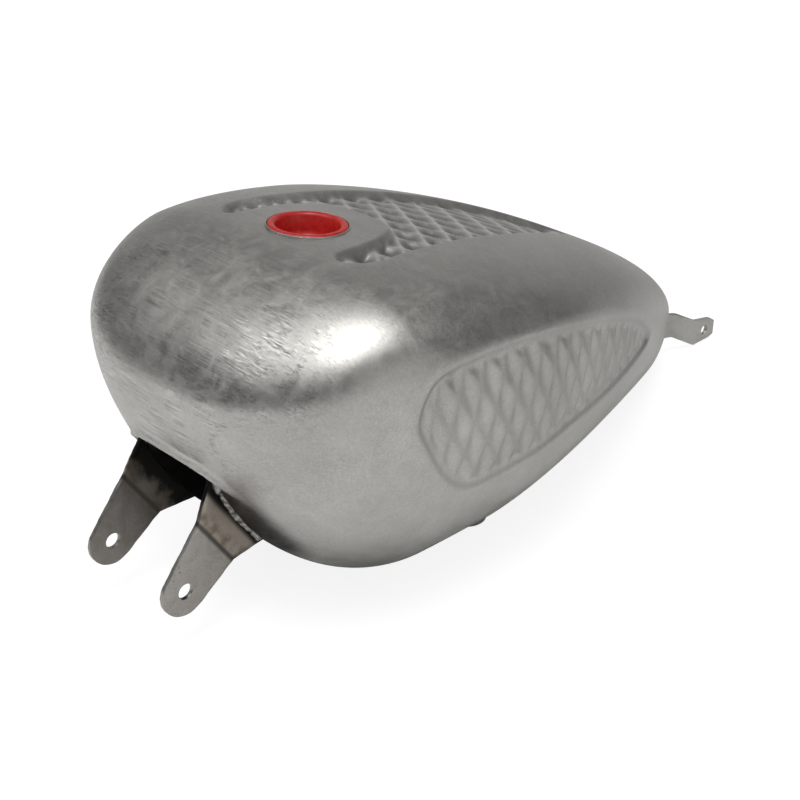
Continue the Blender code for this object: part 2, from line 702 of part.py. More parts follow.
def breather(collection, steel, weld, rubber):
    end_z = roof_z(VENT_Y) - VENT_BELOW_ROOF
    place = Matrix.Translation((VENT_X, VENT_Y, end_z))
    top = VENT_TOP_Z - end_z
    tube = ((VENT_R, top), (VENT_R, 0), (VENT_BORE_R, 0), (VENT_BORE_R, top))
    turned("vent_tube", tube, place, collection, steel)
    inner = VENT_R + GAP
    low = -GAP - CAP_FLOOR
    top = low + CAP_HEIGHT
    cap = ((0, -GAP), (inner, -GAP), (inner, top), (CAP_R, top), (CAP_R, low), (0, low))
    turned("vent_cap", cap, place, collection, rubber, closed=False)
    bead_r, points = 0.0009, []
    radius = VENT_R + GAP + bead_r
    for angle in np.linspace(0, 2 * math.pi, 21)[:-1]:
        x, y = VENT_X + radius * math.cos(angle), VENT_Y + radius * math.sin(angle)
        points.append((x, y, roof_z(y) + bead_r + 0.0004))
    bead("vent_weld", points, bead_r, collection, weld, cyclic=True)


def build():
    clear_scene()
    tank = new_collection("Fuel tank")
    cutters = new_collection("Cutters")
    root = bpy.data.objects.new(ROOT, None)
    root.location.y = -ORIGIN_Y
    tank.objects.link(root)
    steel = material("Bare steel", (0.46, 0.45, 0.42), 0.38, 1.0)
    weld = material("Weld metal", (0.36, 0.35, 0.34), 0.5, 1.0)
    plastic = material("Red plastic", (0.60, 0.03, 0.02), 0.4, 0.0)
    rubber = material("Black rubber", (0.02, 0.02, 0.02), 0.7, 0.0)

    body = solid_body("body_solid", 0, cutters)
    grown = solid_body("body_clearance", GAP, cutters)
    tunnel_space = tunnel_cutter("tunnel_space", GAP, cutters)
    filler = filler_place()
    filler_hole = as_cutter(cylinder("filler_hole", NECK_R + GAP, -0.05, 0.03, cutters, place=filler))
    outlet_place = Matrix.Translation((OUTLET_X, OUTLET_Y, 0))
    outlet_hole = as_cutter(cylinder("outlet_hole", BUNG_R + GAP, -0.02, 0.03, cutters, place=outlet_place))
    vent_place = Matrix.Translation((VENT_X, VENT_Y, roof_z(VENT_Y)))
    vent_hole = as_cutter(cylinder("vent_hole", VENT_R + GAP, -0.02, 0.02, cutters, place=vent_place))

    half_gap = GAP / 2
    for name, side in (("left_shell", 1), ("right_shell", -1)):
        skin_half = shell(name, side, tank, steel)
        edges = sorted((side * half_gap, -side * 0.3))
        far_half = block(name + "_far_half", (edges[0], -0.1, -0.1), (edges[1], 0.7, 0.4), cutters)
        for cutter in (far_half, tunnel_space, filler_hole):
            boolean(skin_half, cutter)
        if side > 0:
            boolean(skin_half, outlet_hole)
    boolean(tunnel(tank, steel, body), vent_hole)
    mouth_weld(grown, tank, weld)
    for name, side in (("left", 1), ("right", -1)):
        ear("front_ear_" + name, side, grown, cutters, tank, steel)
        ear_weld("ear_weld_" + name, side, grown, cutters, tank, weld)
    filler_neck(filler, tank, steel)
    filler_plug(filler, tank, plastic)
    filler_weld(filler, tank, weld)
    rear_tab(grown, cutters, tank, steel)
    rear_tab_weld(grown, cutters, tank, weld)
    centre_welds(tank, weld)
    tunnel_welds(tank, weld)
    slosh_baffle(tunnel_space, cutters, tank, steel)
    outlet(tank, steel, weld, plastic)
    breather(tank, steel, weld, rubber)


build()
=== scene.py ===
"""Looks of a raw-steel motorcycle fuel tank with diamond-pressed recesses, welded ears and a red filler plug.

Metres. Shapes are worked out with the nose at y = 0 and moved to the frame's own place by add_piece.
"""

import math

import bmesh
import bpy
import numpy as np
from mathutils import Matrix, Vector


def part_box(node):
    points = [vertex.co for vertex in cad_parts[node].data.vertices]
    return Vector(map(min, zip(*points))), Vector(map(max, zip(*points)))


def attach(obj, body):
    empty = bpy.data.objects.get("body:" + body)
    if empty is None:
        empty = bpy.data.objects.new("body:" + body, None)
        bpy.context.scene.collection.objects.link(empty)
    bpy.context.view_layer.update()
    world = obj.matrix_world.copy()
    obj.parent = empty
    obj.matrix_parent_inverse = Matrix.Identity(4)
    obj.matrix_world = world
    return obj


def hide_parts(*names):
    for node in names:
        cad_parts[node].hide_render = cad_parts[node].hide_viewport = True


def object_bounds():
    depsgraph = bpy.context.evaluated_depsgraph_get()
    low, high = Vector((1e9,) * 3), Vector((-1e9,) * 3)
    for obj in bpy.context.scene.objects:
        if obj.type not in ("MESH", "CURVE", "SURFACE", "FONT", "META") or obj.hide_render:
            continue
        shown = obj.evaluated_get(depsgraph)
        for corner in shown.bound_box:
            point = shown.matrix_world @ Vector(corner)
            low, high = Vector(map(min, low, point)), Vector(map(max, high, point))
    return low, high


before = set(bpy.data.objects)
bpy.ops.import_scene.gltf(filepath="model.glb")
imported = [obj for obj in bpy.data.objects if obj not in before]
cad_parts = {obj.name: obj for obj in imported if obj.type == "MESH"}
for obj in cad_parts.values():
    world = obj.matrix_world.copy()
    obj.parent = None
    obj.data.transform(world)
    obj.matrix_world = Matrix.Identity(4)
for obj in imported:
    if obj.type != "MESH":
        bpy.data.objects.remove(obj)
cad_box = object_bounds()

NOSE_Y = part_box("left_shell")[0].y
TAIL_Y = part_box("left_shell")[1].y

# Body: a teardrop loft; shares are of LENGTH, counted from the nose.
LENGTH = TAIL_Y - NOSE_Y
HALF_WIDTH = 0.147
CREST_Z, NOSE_Z, TAIL_Z, WAIST_Z = 0.232, 0.162, 0.038, 0.154
WIDEST_SHARE, CREST_SHARE, KEEL_SHARE, WAIST_SHARE, TAIL_TUCK_SHARE = 0.375, 0.18, 0.26, 0.45, 0.10
LOBE_FLAT, UPPER_POWER, LOWER_POWER = 0.28, 2.9, 1.9
SHEET = 0.0015
MESH_STEP = 0.0014

# Recesses: outlines (y, z) on a side and (x, y) on the left half of the top
SIDE_DEPTH, TOP_DEPTH = 0.0030, 0.0050
SIDE_WALL, TOP_WALL = 0.0055, 0.0055
SIDE_RECESS = (
    (0.085, 0.158), (0.098, 0.184), (0.135, 0.190), (0.178, 0.187), (0.220, 0.179), (0.280, 0.158),
    (0.343, 0.128), (0.388, 0.099), (0.398, 0.086), (0.380, 0.079), (0.305, 0.085), (0.235, 0.093),
    (0.165, 0.088), (0.135, 0.089), (0.112, 0.106), (0.094, 0.134),
)
TOP_RECESS = (
    (0.000, 0.174), (0.016, 0.172), (0.030, 0.166), (0.040, 0.147), (0.045, 0.125), (0.047, 0.106),
    (0.054, 0.100), (0.064, 0.107), (0.069, 0.123), (0.067, 0.148), (0.065, 0.170), (0.059, 0.223),
    (0.054, 0.256), (0.045, 0.297), (0.030, 0.340), (0.012, 0.372), (0.000, 0.380),
)
# Diamond pockets: a cell's centre and the two edges of a cell
SIDE_CELL = ((0.1245, 0.16475), (0.01345, -0.0193), (0.0041, 0.0221))
TOP_CELL = ((0.0, 0.2026), (0.0172, 0.0112), (-0.0172, 0.0112))
POCKET_DEPTH_SIDE, POCKET_DEPTH_TOP = 0.0024, 0.0040
RIM_RISE = 0.0008  # how proud the metal stands above the side recess

# Tunnel
TUNNEL_HALF_FRONT, TUNNEL_HALF_REAR = 0.035, 0.013
TUNNEL_FRONT_Y, TUNNEL_TURN_Y, TUNNEL_END_Y = 0.010, 0.400, 0.462
TUNNEL_FRONT_Z, TUNNEL_TURN_Z = 0.112, 0.048
TUNNEL_CORNER = 0.014
LIP_RISE = 0.0030  # how far the mouth's edge is turned up

# Filler, on a place frame whose Z is the neck's axis
FILLER_Y = 0.1253
NECK_R, NECK_SEAT_R, NECK_BORE_R = 0.0268, 0.0259, 0.0225

# Ears (y, z) and rear tab (x, y, z, height)
EAR_X, EAR_ROOT_X, EAR_THICK = 0.0384, 0.0350, 0.003
EAR_HOLE, EAR_HOLE_R, EAR_END_R = (-0.016, 0.0425), 0.0054, 0.017
EAR_CREASE = ((-0.0028, 0.0850), (0.0213, 0.0480))
EAR_ROOT = ((0.0105, 0.1090), (0.0452, 0.0490))
TAB_STATIONS = (
    (0.002, 0.500, 0.030, 0.022), (0.004, 0.528, 0.026, 0.022), (0.008, 0.541, 0.0200, 0.023),
    (0.012, 0.553, 0.0138, 0.0235), (0.012, 0.575, 0.0115, 0.019), (0.012, 0.582, 0.0100, 0.013),
)
TAB_THICK, TAB_HOLE, TAB_HOLE_R = 0.003, (0.5676, 0.0117), 0.0043

# Camera
CAMERA_AZIMUTH, CAMERA_ELEVATION = 45.5, 28.7
CAMERA_DISTANCE, CAMERA_AIM = 1.0203, Vector((0, 0.2059, 0.0748))
FOCAL_SHARE = 1437 / 800  # focal length over image width


# ---------------------------------------------------------------- body surface
def swell(share, peak, front_power, rear_power, rear_exponent, blunt=0.0):
    """0 at the nose, 1 at peak and 0 at the tail; blunt is the share that stays full up to the tail."""
    front = np.clip((peak - share) / peak, 0, 1)
    rear = np.clip((share - peak) / (1 - peak), 0, 1)
    nose = (1 - front**front_power) ** (1 / front_power)
    tail = (1 - blunt) * (1 - rear**rear_power) ** rear_exponent + blunt * np.sqrt(1 - rear**10)
    return np.where(share < peak, nose, tail)


def half_width(share):
    return HALF_WIDTH * swell(share, WIDEST_SHARE, 2.9, 1.4, 1.1, 0.12)


def top_z(share):
    base = np.where(share < CREST_SHARE, NOSE_Z, TAIL_Z)
    return base + (CREST_Z - base) * swell(share, CREST_SHARE, 1.55, 1.76, 0.764)


def bottom_z(share):
    chin = np.clip((KEEL_SHARE - share) / KEEL_SHARE, 0, 1)
    tuck = np.clip((share - 1 + TAIL_TUCK_SHARE) / TAIL_TUCK_SHARE, 0, 1)
    return NOSE_Z * (1 - (1 - chin**1.75) ** (1 / 1.75)) + TAIL_Z * (1 - np.sqrt(1 - tuck**2))


def waist_z(share):
    """A parabola through the nose, WAIST_Z and the tail, kept between the bottom and the top."""
    mid = WAIST_SHARE
    height = (
        NOSE_Z * (share - mid) * (share - 1) / mid
        + WAIST_Z * share * (share - 1) / (mid * (mid - 1))
        + TAIL_Z * share * (share - mid) / (1 - mid)
    )
    return np.clip(height, bottom_z(share), top_z(share))


def section(share, angle):
    """x and z of the left half's section: angle is -90 degrees at the bottom and 90 on top."""
    width, waist = half_width(share), waist_z(share)
    across, up = np.clip(np.cos(angle), 0, 1), np.sin(angle)
    power = np.where(up >= 0, UPPER_POWER, LOWER_POWER)
    flat = np.where((up < 0) & (across > 1e-4), LOBE_FLAT, 0.0)
    x = width * (flat + (1 - flat) * across ** (2 / power))
    reach = np.where(up >= 0, top_z(share) - waist, waist - bottom_z(share))
    return x, waist + reach * np.sign(up) * np.abs(up) ** (2 / power)


def is_inside(point):
    """Whether a point lies within the plain teardrop."""
    x, y, z = abs(point[0]), point[1], point[2]
    share = y / LENGTH
    if not 0 < share < 1:
        return False
    width, top, bottom, waist = (float(f(share)) for f in (half_width, top_z, bottom_z, waist_z))
    if not bottom < z < top or x > width:
        return False
    if z > waist:
        return (x / width) ** UPPER_POWER + ((z - waist) / (top - waist)) ** UPPER_POWER < 1
    across = max(0.0, (x / width - LOBE_FLAT) / (1 - LOBE_FLAT))
    return across**LOWER_POWER + ((waist - z) / (waist - bottom)) ** LOWER_POWER < 1


def reach_skin(start, direction, reach=0.12, steps=300):
    """The point where a line from outside the body first meets it."""
    start, direction = Vector(start), Vector(direction).normalized()
    for i in range(1, steps + 1):
        if is_inside(start + direction * (reach * i / steps)):
            low, high = reach * (i - 1) / steps, reach * i / steps
            for _ in range(16):
                middle = (low + high) / 2
                low, high = (low, middle) if is_inside(start + direction * middle) else (middle, high)
            return start + direction * high
    raise ValueError("the line misses the body")


def spaced(points, count):
    """Points evenly spaced along a densely sampled line, and their places on it from 0 to 1."""
    length = np.concatenate([[0], np.cumsum(np.linalg.norm(np.diff(points, axis=0), axis=1))])
    wanted = np.linspace(0, length[-1], count)
    return np.stack([np.interp(wanted, length, c) for c in points.T], 1)


def skin_grid():
    """The left half's skin as rows of evenly spaced points, and its outward normals."""
    u = np.linspace(0, 1, 6001)[1:-1]
    shares = u**5 / (u**5 + (1 - u) ** 4)
    profile = np.stack([shares, LENGTH * shares, half_width(shares), top_z(shares), bottom_z(shares)], 1)
    weighted = profile * (0, 1, 0.8, 0.8, 0.8)
    length = np.concatenate([[0], np.cumsum(np.linalg.norm(np.diff(weighted, axis=0), axis=1))])
    rows = int(length[-1] / MESH_STEP)
    shares = np.interp(np.linspace(0, length[-1], rows + 2)[1:-1], length, shares)
    columns = int(0.36 / MESH_STEP)
    angles = np.radians(np.concatenate([[-90], np.linspace(-89.95, 90, 700)]))
    grid = np.empty((rows, columns, 3))
    for i, share in enumerate(shares):
        x, z = section(share, angles)
        x[-1] = 0
        grid[i, :, (0, 2)] = spaced(np.stack([x, z], 1), columns).T
        grid[i, :, 1] = LENGTH * share
    along = np.gradient(grid, axis=0)
    around = np.gradient(grid, axis=1)
    normal = np.cross(along, around)
    normal[:, (0, -1), 0] = 0
    normal /= np.linalg.norm(normal, axis=-1, keepdims=True)
    return grid, normal


def smooth(share):
    share = np.clip(share, 0, 1)
    return share * share * (3 - 2 * share)


def smooth_outline(corners, closed=True, steps=6):
    """A Catmull-Rom curve through the corners."""
    corners = np.array(corners)
    count = len(corners)
    points = []
    for i in range(count if closed else count - 1):
        index = [i - 1, i, i + 1, i + 2]
        index = [k % count for k in index] if closed else [min(max(k, 0), count - 1) for k in index]
        p0, p1, p2, p3 = corners[index]
        for s in np.arange(steps) / steps:
            points.append(
                0.5 * (2 * p1 + (p2 - p0) * s + (2 * p0 - 5 * p1 + 4 * p2 - p3) * s**2
                       + (3 * p1 - p0 - 3 * p2 + p3) * s**3)
            )
    return np.array(points)


def depth_inside(points, outline):
    """Distance in from the outline for points within it, and minus the distance outside."""
    shape = points.shape[:-1]
    flat = points.reshape(-1, 2)
    best = np.full(len(flat), 1.0)
    crossings = np.zeros(len(flat), int)
    for a, b in zip(outline, np.roll(outline, -1, axis=0)):
        edge = b - a
        offset = flat - a
        along = np.clip(offset @ edge / (edge @ edge), 0, 1)
        best = np.minimum(best, np.linalg.norm(offset - along[:, None] * edge, axis=1))
        crosses = (a[1] > flat[:, 1]) != (b[1] > flat[:, 1])
        if a[1] != b[1]:
            crossings += crosses & (offset[:, 0] < (flat[:, 1] - a[1]) / (b[1] - a[1]) * edge[0])
    return np.where(crossings % 2 == 1, best, -best).reshape(shape)


def pockets(places, cell, sharpness=1.0):
    """0 on the ridges of a diamond lattice and 1 in the middle of each of its pockets."""
    centre, edge_a, edge_b = (np.array(v) for v in cell)
    inverse = np.linalg.inv(np.stack([edge_a, edge_b], 1))
    steps = (places - centre) @ inverse.T
    return np.abs(np.cos(math.pi * steps[..., 0]) * np.cos(math.pi * steps[..., 1])) ** sharpness


def pressing(points):
    """How far the press pushes the left half in, and masks for painted light: painted shade in the top's hollows, a
    painted highlight on the top's ridges, painted shade on the side's lattice lines and along the side recess's edge.
    """
    top = smooth_outline(TOP_RECESS, closed=False)
    both_halves = np.concatenate([top, top[:0:-1] * (-1, 1)])
    on_top = points[..., 2] > waist_z(np.clip(points[..., 1] / LENGTH, 0, 1)) + 0.02
    side_in = np.where(points[..., 0] > 0.06, depth_inside(points[..., 1:], smooth_outline(SIDE_RECESS)), -1)
    top_in = np.where(on_top, depth_inside(points[..., :2], both_halves), -1)
    side_hollow = pockets(points[..., 1:], SIDE_CELL)
    top_hollow = pockets(points[..., :2], TOP_CELL)
    side_field, top_field = smooth((side_in - 0.0045) / 0.005), smooth((top_in - 0.0030) / 0.004)
    depth = SIDE_DEPTH * smooth(side_in / SIDE_WALL) + TOP_DEPTH * smooth(top_in / TOP_WALL)
    depth += POCKET_DEPTH_SIDE * side_field * side_hollow + POCKET_DEPTH_TOP * top_field * top_hollow
    depth -= RIM_RISE * np.exp(-(((side_in + 0.004) / 0.0045) ** 2)) * smooth((points[..., 2] - 0.09) / 0.06)
    marks = {
        "top_hollow": top_field * top_hollow,
        "top_ridge_highlight": top_field * (1 - top_hollow) ** 5,
        "side_line_shade": side_field * (1 - side_hollow) ** 2.5,
        "side_wall_shade": np.exp(-(((side_in - 0.0028) / 0.0022) ** 2)),
    }
    return depth, marks


def distance_to_line(points, line):
    flat = points.reshape(-1, 3)
    best = np.full(len(flat), 1.0)
    for a, b in zip(line[:-1], line[1:]):
        edge = b - a
        along = np.clip((flat - a) @ edge / (edge @ edge), 0, 1)
        best = np.minimum(best, np.linalg.norm(flat - a - along[:, None] * edge, axis=1))
    return best.reshape(points.shape[:-1])


# ---------------------------------------------------------------- pieces
def move_to_frame(obj):
    obj.data.transform(Matrix.Translation((0, NOSE_Y, 0)))
    return obj


def add_piece(obj, body, slot, *nodes, material=None):
    """Finish a piece made in the nose's frame: place it, dress it and let it stand for CAD nodes."""
    move_to_frame(obj)
    if material:
        obj.data.materials.clear()
        obj.data.materials.append(material)
    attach(obj, body)
    if nodes:
        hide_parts(*nodes)
    return obj


def mesh_object(name, vertices, faces, sharp=40):
    mesh = bpy.data.meshes.new(name)
    mesh.from_pydata([tuple(v) for v in vertices], [], faces)
    mesh.shade_smooth()
    mesh.set_sharp_from_angle(angle=math.radians(sharp))
    obj = bpy.data.objects.new(name, mesh)
    bpy.context.scene.collection.objects.link(obj)
    return obj


def bake(obj, sharp=40):
    """Apply the object's modifiers to its mesh."""
    bpy.context.view_layer.update()
    evaluated = obj.evaluated_get(bpy.context.evaluated_depsgraph_get())
    mesh = bpy.data.meshes.new_from_object(evaluated)
    obj.modifiers.clear()
    obj.data = mesh
    mesh.shade_smooth()
    mesh.set_sharp_from_angle(angle=math.radians(sharp))
    return obj


def grid_faces(rows, columns, closed=False):
    faces = []
    for i in range(rows - 1):
        for j in range(columns if closed else columns - 1):
            k = (j + 1) % columns
            faces.append((i * columns + j, (i + 1) * columns + j, (i + 1) * columns + k, i * columns + k))
    return faces


def solidify(obj, thickness, offset):
    modifier = obj.modifiers.new("Solidify", "SOLIDIFY")
    modifier.thickness = thickness
    modifier.offset = offset
    modifier.use_even_offset = True


def bevel(obj, width, segments=2, angle=40):
    modifier = obj.modifiers.new("Bevel", "BEVEL")
    modifier.width = width
    modifier.segments = segments
    modifier.limit_method = "ANGLE"
    modifier.angle_limit = math.radians(angle)


def cut(obj, cutter):
    modifier = obj.modifiers.new("Cut", "BOOLEAN")
    modifier.object = cutter
    modifier.operation = "DIFFERENCE"
    modifier.solver = "EXACT"


def cylinder(name, radius, low, high, place=Matrix.Identity(4), segments=96):
    built = bmesh.new()
    bmesh.ops.create_cone(
        built, cap_ends=True, segments=segments, radius1=radius, radius2=radius, depth=high - low
    )
    bmesh.ops.translate(built, verts=built.verts, vec=(0, 0, (low + high) / 2))
    bmesh.ops.transform(built, verts=built.verts, matrix=place)
    mesh = bpy.data.meshes.new(name)
    built.to_mesh(mesh)
    built.free()
    obj = bpy.data.objects.new(name, mesh)
    bpy.context.scene.collection.objects.link(obj)
    return obj


def joined_cutter(parts):
    """One cutter made of solids that don't touch."""
    built = bmesh.new()
    for part in parts:
        built.from_mesh(part.data)
        bpy.data.objects.remove(part)
    mesh = bpy.data.meshes.new("cutter")
    built.to_mesh(mesh)
    built.free()
    obj = bpy.data.objects.new("cutter", mesh)
    bpy.context.scene.collection.objects.link(obj)
    return obj


def turned(name, profile, place=Matrix.Identity(4), closed=True, segments=96):
    """Turn (radius, height) points about Z: a ring's closed section, or a line that ends on the axis."""
    count = len(profile)
    vertices, faces = [], []
    for k in range(segments):
        turn = 2 * math.pi * k / segments
        vertices += [place @ Vector((r * math.cos(turn), r * math.sin(turn), z)) for r, z in profile]
    for k in range(segments):
        a, b = k * count, (k + 1) % segments * count
        for j in range(count if closed else count - 1):
            n = (j + 1) % count
            faces.append((a + j, a + n, b + n, b + j))
    obj = mesh_object(name, vertices, faces, 50)
    built = bmesh.new()
    built.from_mesh(obj.data)
    bmesh.ops.remove_doubles(built, verts=built.verts, dist=1e-6)
    bmesh.ops.recalc_face_normals(built, faces=built.faces)
    built.to_mesh(obj.data)
    built.free()
    return obj


def rounded(corners, radius, steps=4):
    """A closed section with its corners rounded."""
    points = []
    count = len(corners)
    for i in range(count):
        before, corner, after = (Vector(corners[k % count]) for k in (i - 1, i, i + 1))
        into, out = before - corner, after - corner
        cut_back = min(radius, into.length * 0.45, out.length * 0.45)
        start, end = corner + into.normalized() * cut_back, corner + out.normalized() * cut_back
        for s in np.linspace(0, 1, steps + 1):
            points.append(tuple(start * (1 - s) ** 2 + corner * 2 * s * (1 - s) + end * s**2))
    return points


# ---------------------------------------------------------------- tunnel
def tunnel_half(y):
    share = (y - TUNNEL_FRONT_Y) / (TUNNEL_END_Y - TUNNEL_FRONT_Y)
    return TUNNEL_HALF_FRONT + (TUNNEL_HALF_REAR - TUNNEL_HALF_FRONT) * min(max(share, 0), 1)


def roof_z(y):
    slope = (TUNNEL_TURN_Z - TUNNEL_FRONT_Z) / (TUNNEL_TURN_Y - TUNNEL_FRONT_Y)
    if y <= TUNNEL_TURN_Y:
        return TUNNEL_FRONT_Z + slope * (y - TUNNEL_FRONT_Y)
    fall = (y - TUNNEL_TURN_Y) / (TUNNEL_END_Y - TUNNEL_TURN_Y)
    return (TUNNEL_TURN_Z + 0.008) * math.sqrt(max(0, 1 - fall**2)) - 0.008


def tunnel_section(y, grow, foot):
    """The inverted U at y: right foot, over the roof, to the left foot."""
    half, roof = tunnel_half(y) + grow, roof_z(y) + grow
    corner = min(TUNNEL_CORNER, half * 0.6, max(roof - foot, 0.004) * 0.45)
    turn = np.linspace(0, math.pi / 2, 13)
    over = [(half - corner + corner * math.cos(a), roof - corner + corner * math.sin(a)) for a in turn]
    left = [(half, foot), (half, (foot + roof - corner) / 2)] + over
    right = [(-x, z) for x, z in left][::-1]
    return [(x, y, z) for x, z in left + [(0, roof)] + right]


def tunnel_ys():
    straight = np.linspace(-0.045, TUNNEL_TURN_Y, 30)
    fall = TUNNEL_TURN_Y + (TUNNEL_END_Y - TUNNEL_TURN_Y) * np.sin(np.linspace(0.1, 1, 20) * math.pi / 2)
    return list(straight) + list(fall)


def tunnel_solid(name, grow, foot, end=TUNNEL_END_Y):
    """The tunnel's space as one solid, with its tail pulled back to end."""
    shrink = (end - TUNNEL_TURN_Y) / (TUNNEL_END_Y - TUNNEL_TURN_Y)
    rows = []
    for y in tunnel_ys():
        back = max(float(y) - TUNNEL_TURN_Y, 0) * (1 - shrink)
        rows.append([(x, y - back, z) for x, y, z in tunnel_section(float(y), grow, foot)])
    columns = len(rows[0])
    points = [p for row in rows for p in row]
    faces = grid_faces(len(rows), columns, closed=True)
    faces += [tuple(range(columns)), tuple(range(len(points) - 1, len(points) - columns - 1, -1))]
    return mesh_object(name, points, faces)


def tunnel_cutter():
    return tunnel_solid("tunnel_space", 0, -0.030)


def body_solid():
    """The teardrop as one solid, to trim the tunnel's sheet."""
    u = np.linspace(0, 1, 122)[1:-1]
    shares = u**3 / (u**3 + (1 - u) ** 2.5)
    angles = np.radians(np.concatenate([[-90], np.linspace(-89.95, 90, 60)]))
    rows = []
    for share in shares:
        x, z = section(share, angles)
        x[-1] = 0
        left = [(a, LENGTH * share, b) for a, b in zip(x, z)]
        rows.append(left + [(-a, y, b) for a, y, b in left[-2:0:-1]])
    columns = len(rows[0])
    points = [p for row in rows for p in row] + [(0, 0, NOSE_Z), (0, LENGTH, TAIL_Z)]
    nose, last = len(points) - 2, (len(rows) - 1) * columns
    faces = grid_faces(len(rows), columns, closed=True)
    faces += [(nose, j, (j + 1) % columns) for j in range(columns)]
    faces += [(nose + 1, last + (j + 1) % columns, last + j) for j in range(columns)]
    return mesh_object("body_solid", points, faces)


def build_tunnel(material):
    """The channel's sheet: its outside trimmed to the body, with its inside cut away."""
    obj = tunnel_solid("tunnel_channel", -0.0001, -0.014)
    trim = body_solid()
    modifier = obj.modifiers.new("Trim", "BOOLEAN")
    modifier.object = trim
    modifier.operation = "INTERSECT"
    modifier.solver = "EXACT"
    bake(obj)
    hollow = tunnel_solid("tunnel_hollow", -0.0001 - SHEET, -0.040, TUNNEL_END_Y - SHEET)
    cut(obj, hollow)
    bake(obj)
    bpy.data.objects.remove(trim)
    bpy.data.objects.remove(hollow)
    add_piece(obj, "tank", "bare_steel", "tunnel", material=material)


# ---------------------------------------------------------------- skins
def lip_line():
    """The raised edge over the tunnel's mouth, which runs out on each side of it."""
    line = [(0, -0.05, 0.1150), (0.020, -0.05, 0.1150), (0.034, -0.05, 0.1135), (0.044, -0.05, 0.1090),
            (0.053, -0.05, 0.1020), (0.060, -0.05, 0.0950)]
    return np.array([tuple(reach_skin(start, (0, 1, 0))) for start in line])


def sheet_mesh(outer, inner):
    """A closed half shell: two grids from the nose to the tail, joined along their edges at x = 0."""
    rows, columns = outer.shape[:2]
    count = rows * columns
    last = count - columns
    tips = [(0, 0, NOSE_Z), (0, LENGTH, TAIL_Z), (0, SHEET, NOSE_Z), (0, LENGTH - SHEET, TAIL_Z)]
    vertices = np.concatenate([outer.reshape(-1, 3), inner.reshape(-1, 3), tips])
    nose, tail, nose_in, tail_in = range(2 * count, 2 * count + 4)
    faces = grid_faces(rows, columns)
    faces += [(nose, j, j + 1) for j in range(columns - 1)]
    faces += [(tail, last + j + 1, last + j) for j in range(columns - 1)]
    inside = grid_faces(rows, columns)
    faces += [tuple(count + k for k in face[::-1]) for face in inside]
    faces += [(nose_in, count + j + 1, count + j) for j in range(columns - 1)]
    faces += [(tail_in, count + last + j, count + last + j + 1) for j in range(columns - 1)]
    for column, turn in ((0, 1), (columns - 1, -1)):
        edge = [nose] + [i * columns + column for i in range(rows)] + [tail]
        back = [nose_in] + [count + i * columns + column for i in range(rows)] + [tail_in]
        for i in range(rows + 1):
            faces.append((edge[i], back[i], back[i + 1], edge[i + 1])[::turn])
    return vertices, faces


def build_skins(material, filler, weld):
    """Both skins, and the seam's inner bead, which has to follow the pockets."""
    grid, normal = skin_grid()
    depth, marks = pressing(grid)
    lip = distance_to_line(grid, lip_line())
    fade = smooth((0.064 - grid[..., 0]) / 0.022)
    depth -= LIP_RISE * np.exp(-((lip / 0.0032) ** 2)) * fade
    outer = grid - normal * depth[..., None]
    outer[:, (0, -1), 0] = 0
    inner = outer - normal * SHEET
    inner[..., 0] = np.clip(inner[..., 0], 0, None)
    inner[:, (0, -1), 0] = 0
    vertices, faces = sheet_mesh(outer, inner)
    for side, name in ((1, "left"), (-1, "right")):
        turned_faces = faces if side > 0 else [face[::-1] for face in faces]
        obj = mesh_object(name + "_skin", vertices * (side, 1, 1), turned_faces)
        for mark, values in marks.items():
            layer = obj.data.attributes.new(mark, "FLOAT", "POINT")
            layer.data.foreach_set("value", np.pad(values.ravel(), (0, len(vertices) - values.size)))
        cutters = [tunnel_cutter(), cylinder("hole", NECK_R, -0.05, 0.03, filler)]
        if side > 0:
            low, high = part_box("outlet_bung")
            centre = (low + high) / 2
            place = Matrix.Translation((centre.x, centre.y - NOSE_Y, 0))
            cutters.append(cylinder("hole", (high.x - low.x) / 2 + 0.0001, -0.02, 0.03, place))
        cutter = joined_cutter(cutters)
        cut(obj, cutter)
        bake(obj, 48)
        bpy.data.objects.remove(cutter)
        add_piece(obj, "tank", "bare_steel", name + "_shell", material=material)
    low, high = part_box("centre_weld_rear")
    crown = inner[:, -1] - normal[:, -1] * 0.0013
    kept = (crown[:, 1] > low.y - NOSE_Y) & (crown[:, 1] < high.y - NOSE_Y - 0.004)
    obj = weld_bead("seam_bead", crown[kept], 0.0011, 17)
    add_piece(obj, "tank", "weld_metal", "centre_weld_rear", material=weld)


# ---------------------------------------------------------------- filler
def filler_place():
    """The neck's frame: its origin on the top skin and its Z axis along the skin's normal."""
    share, step = FILLER_Y / LENGTH, 0.002
    rise = float(top_z(share + step) - top_z(share - step)) / (2 * step * LENGTH)
    place = Matrix.Translation((0, FILLER_Y, float(top_z(share))))
    return place @ Matrix.Rotation(-math.atan(-rise), 4, "X")


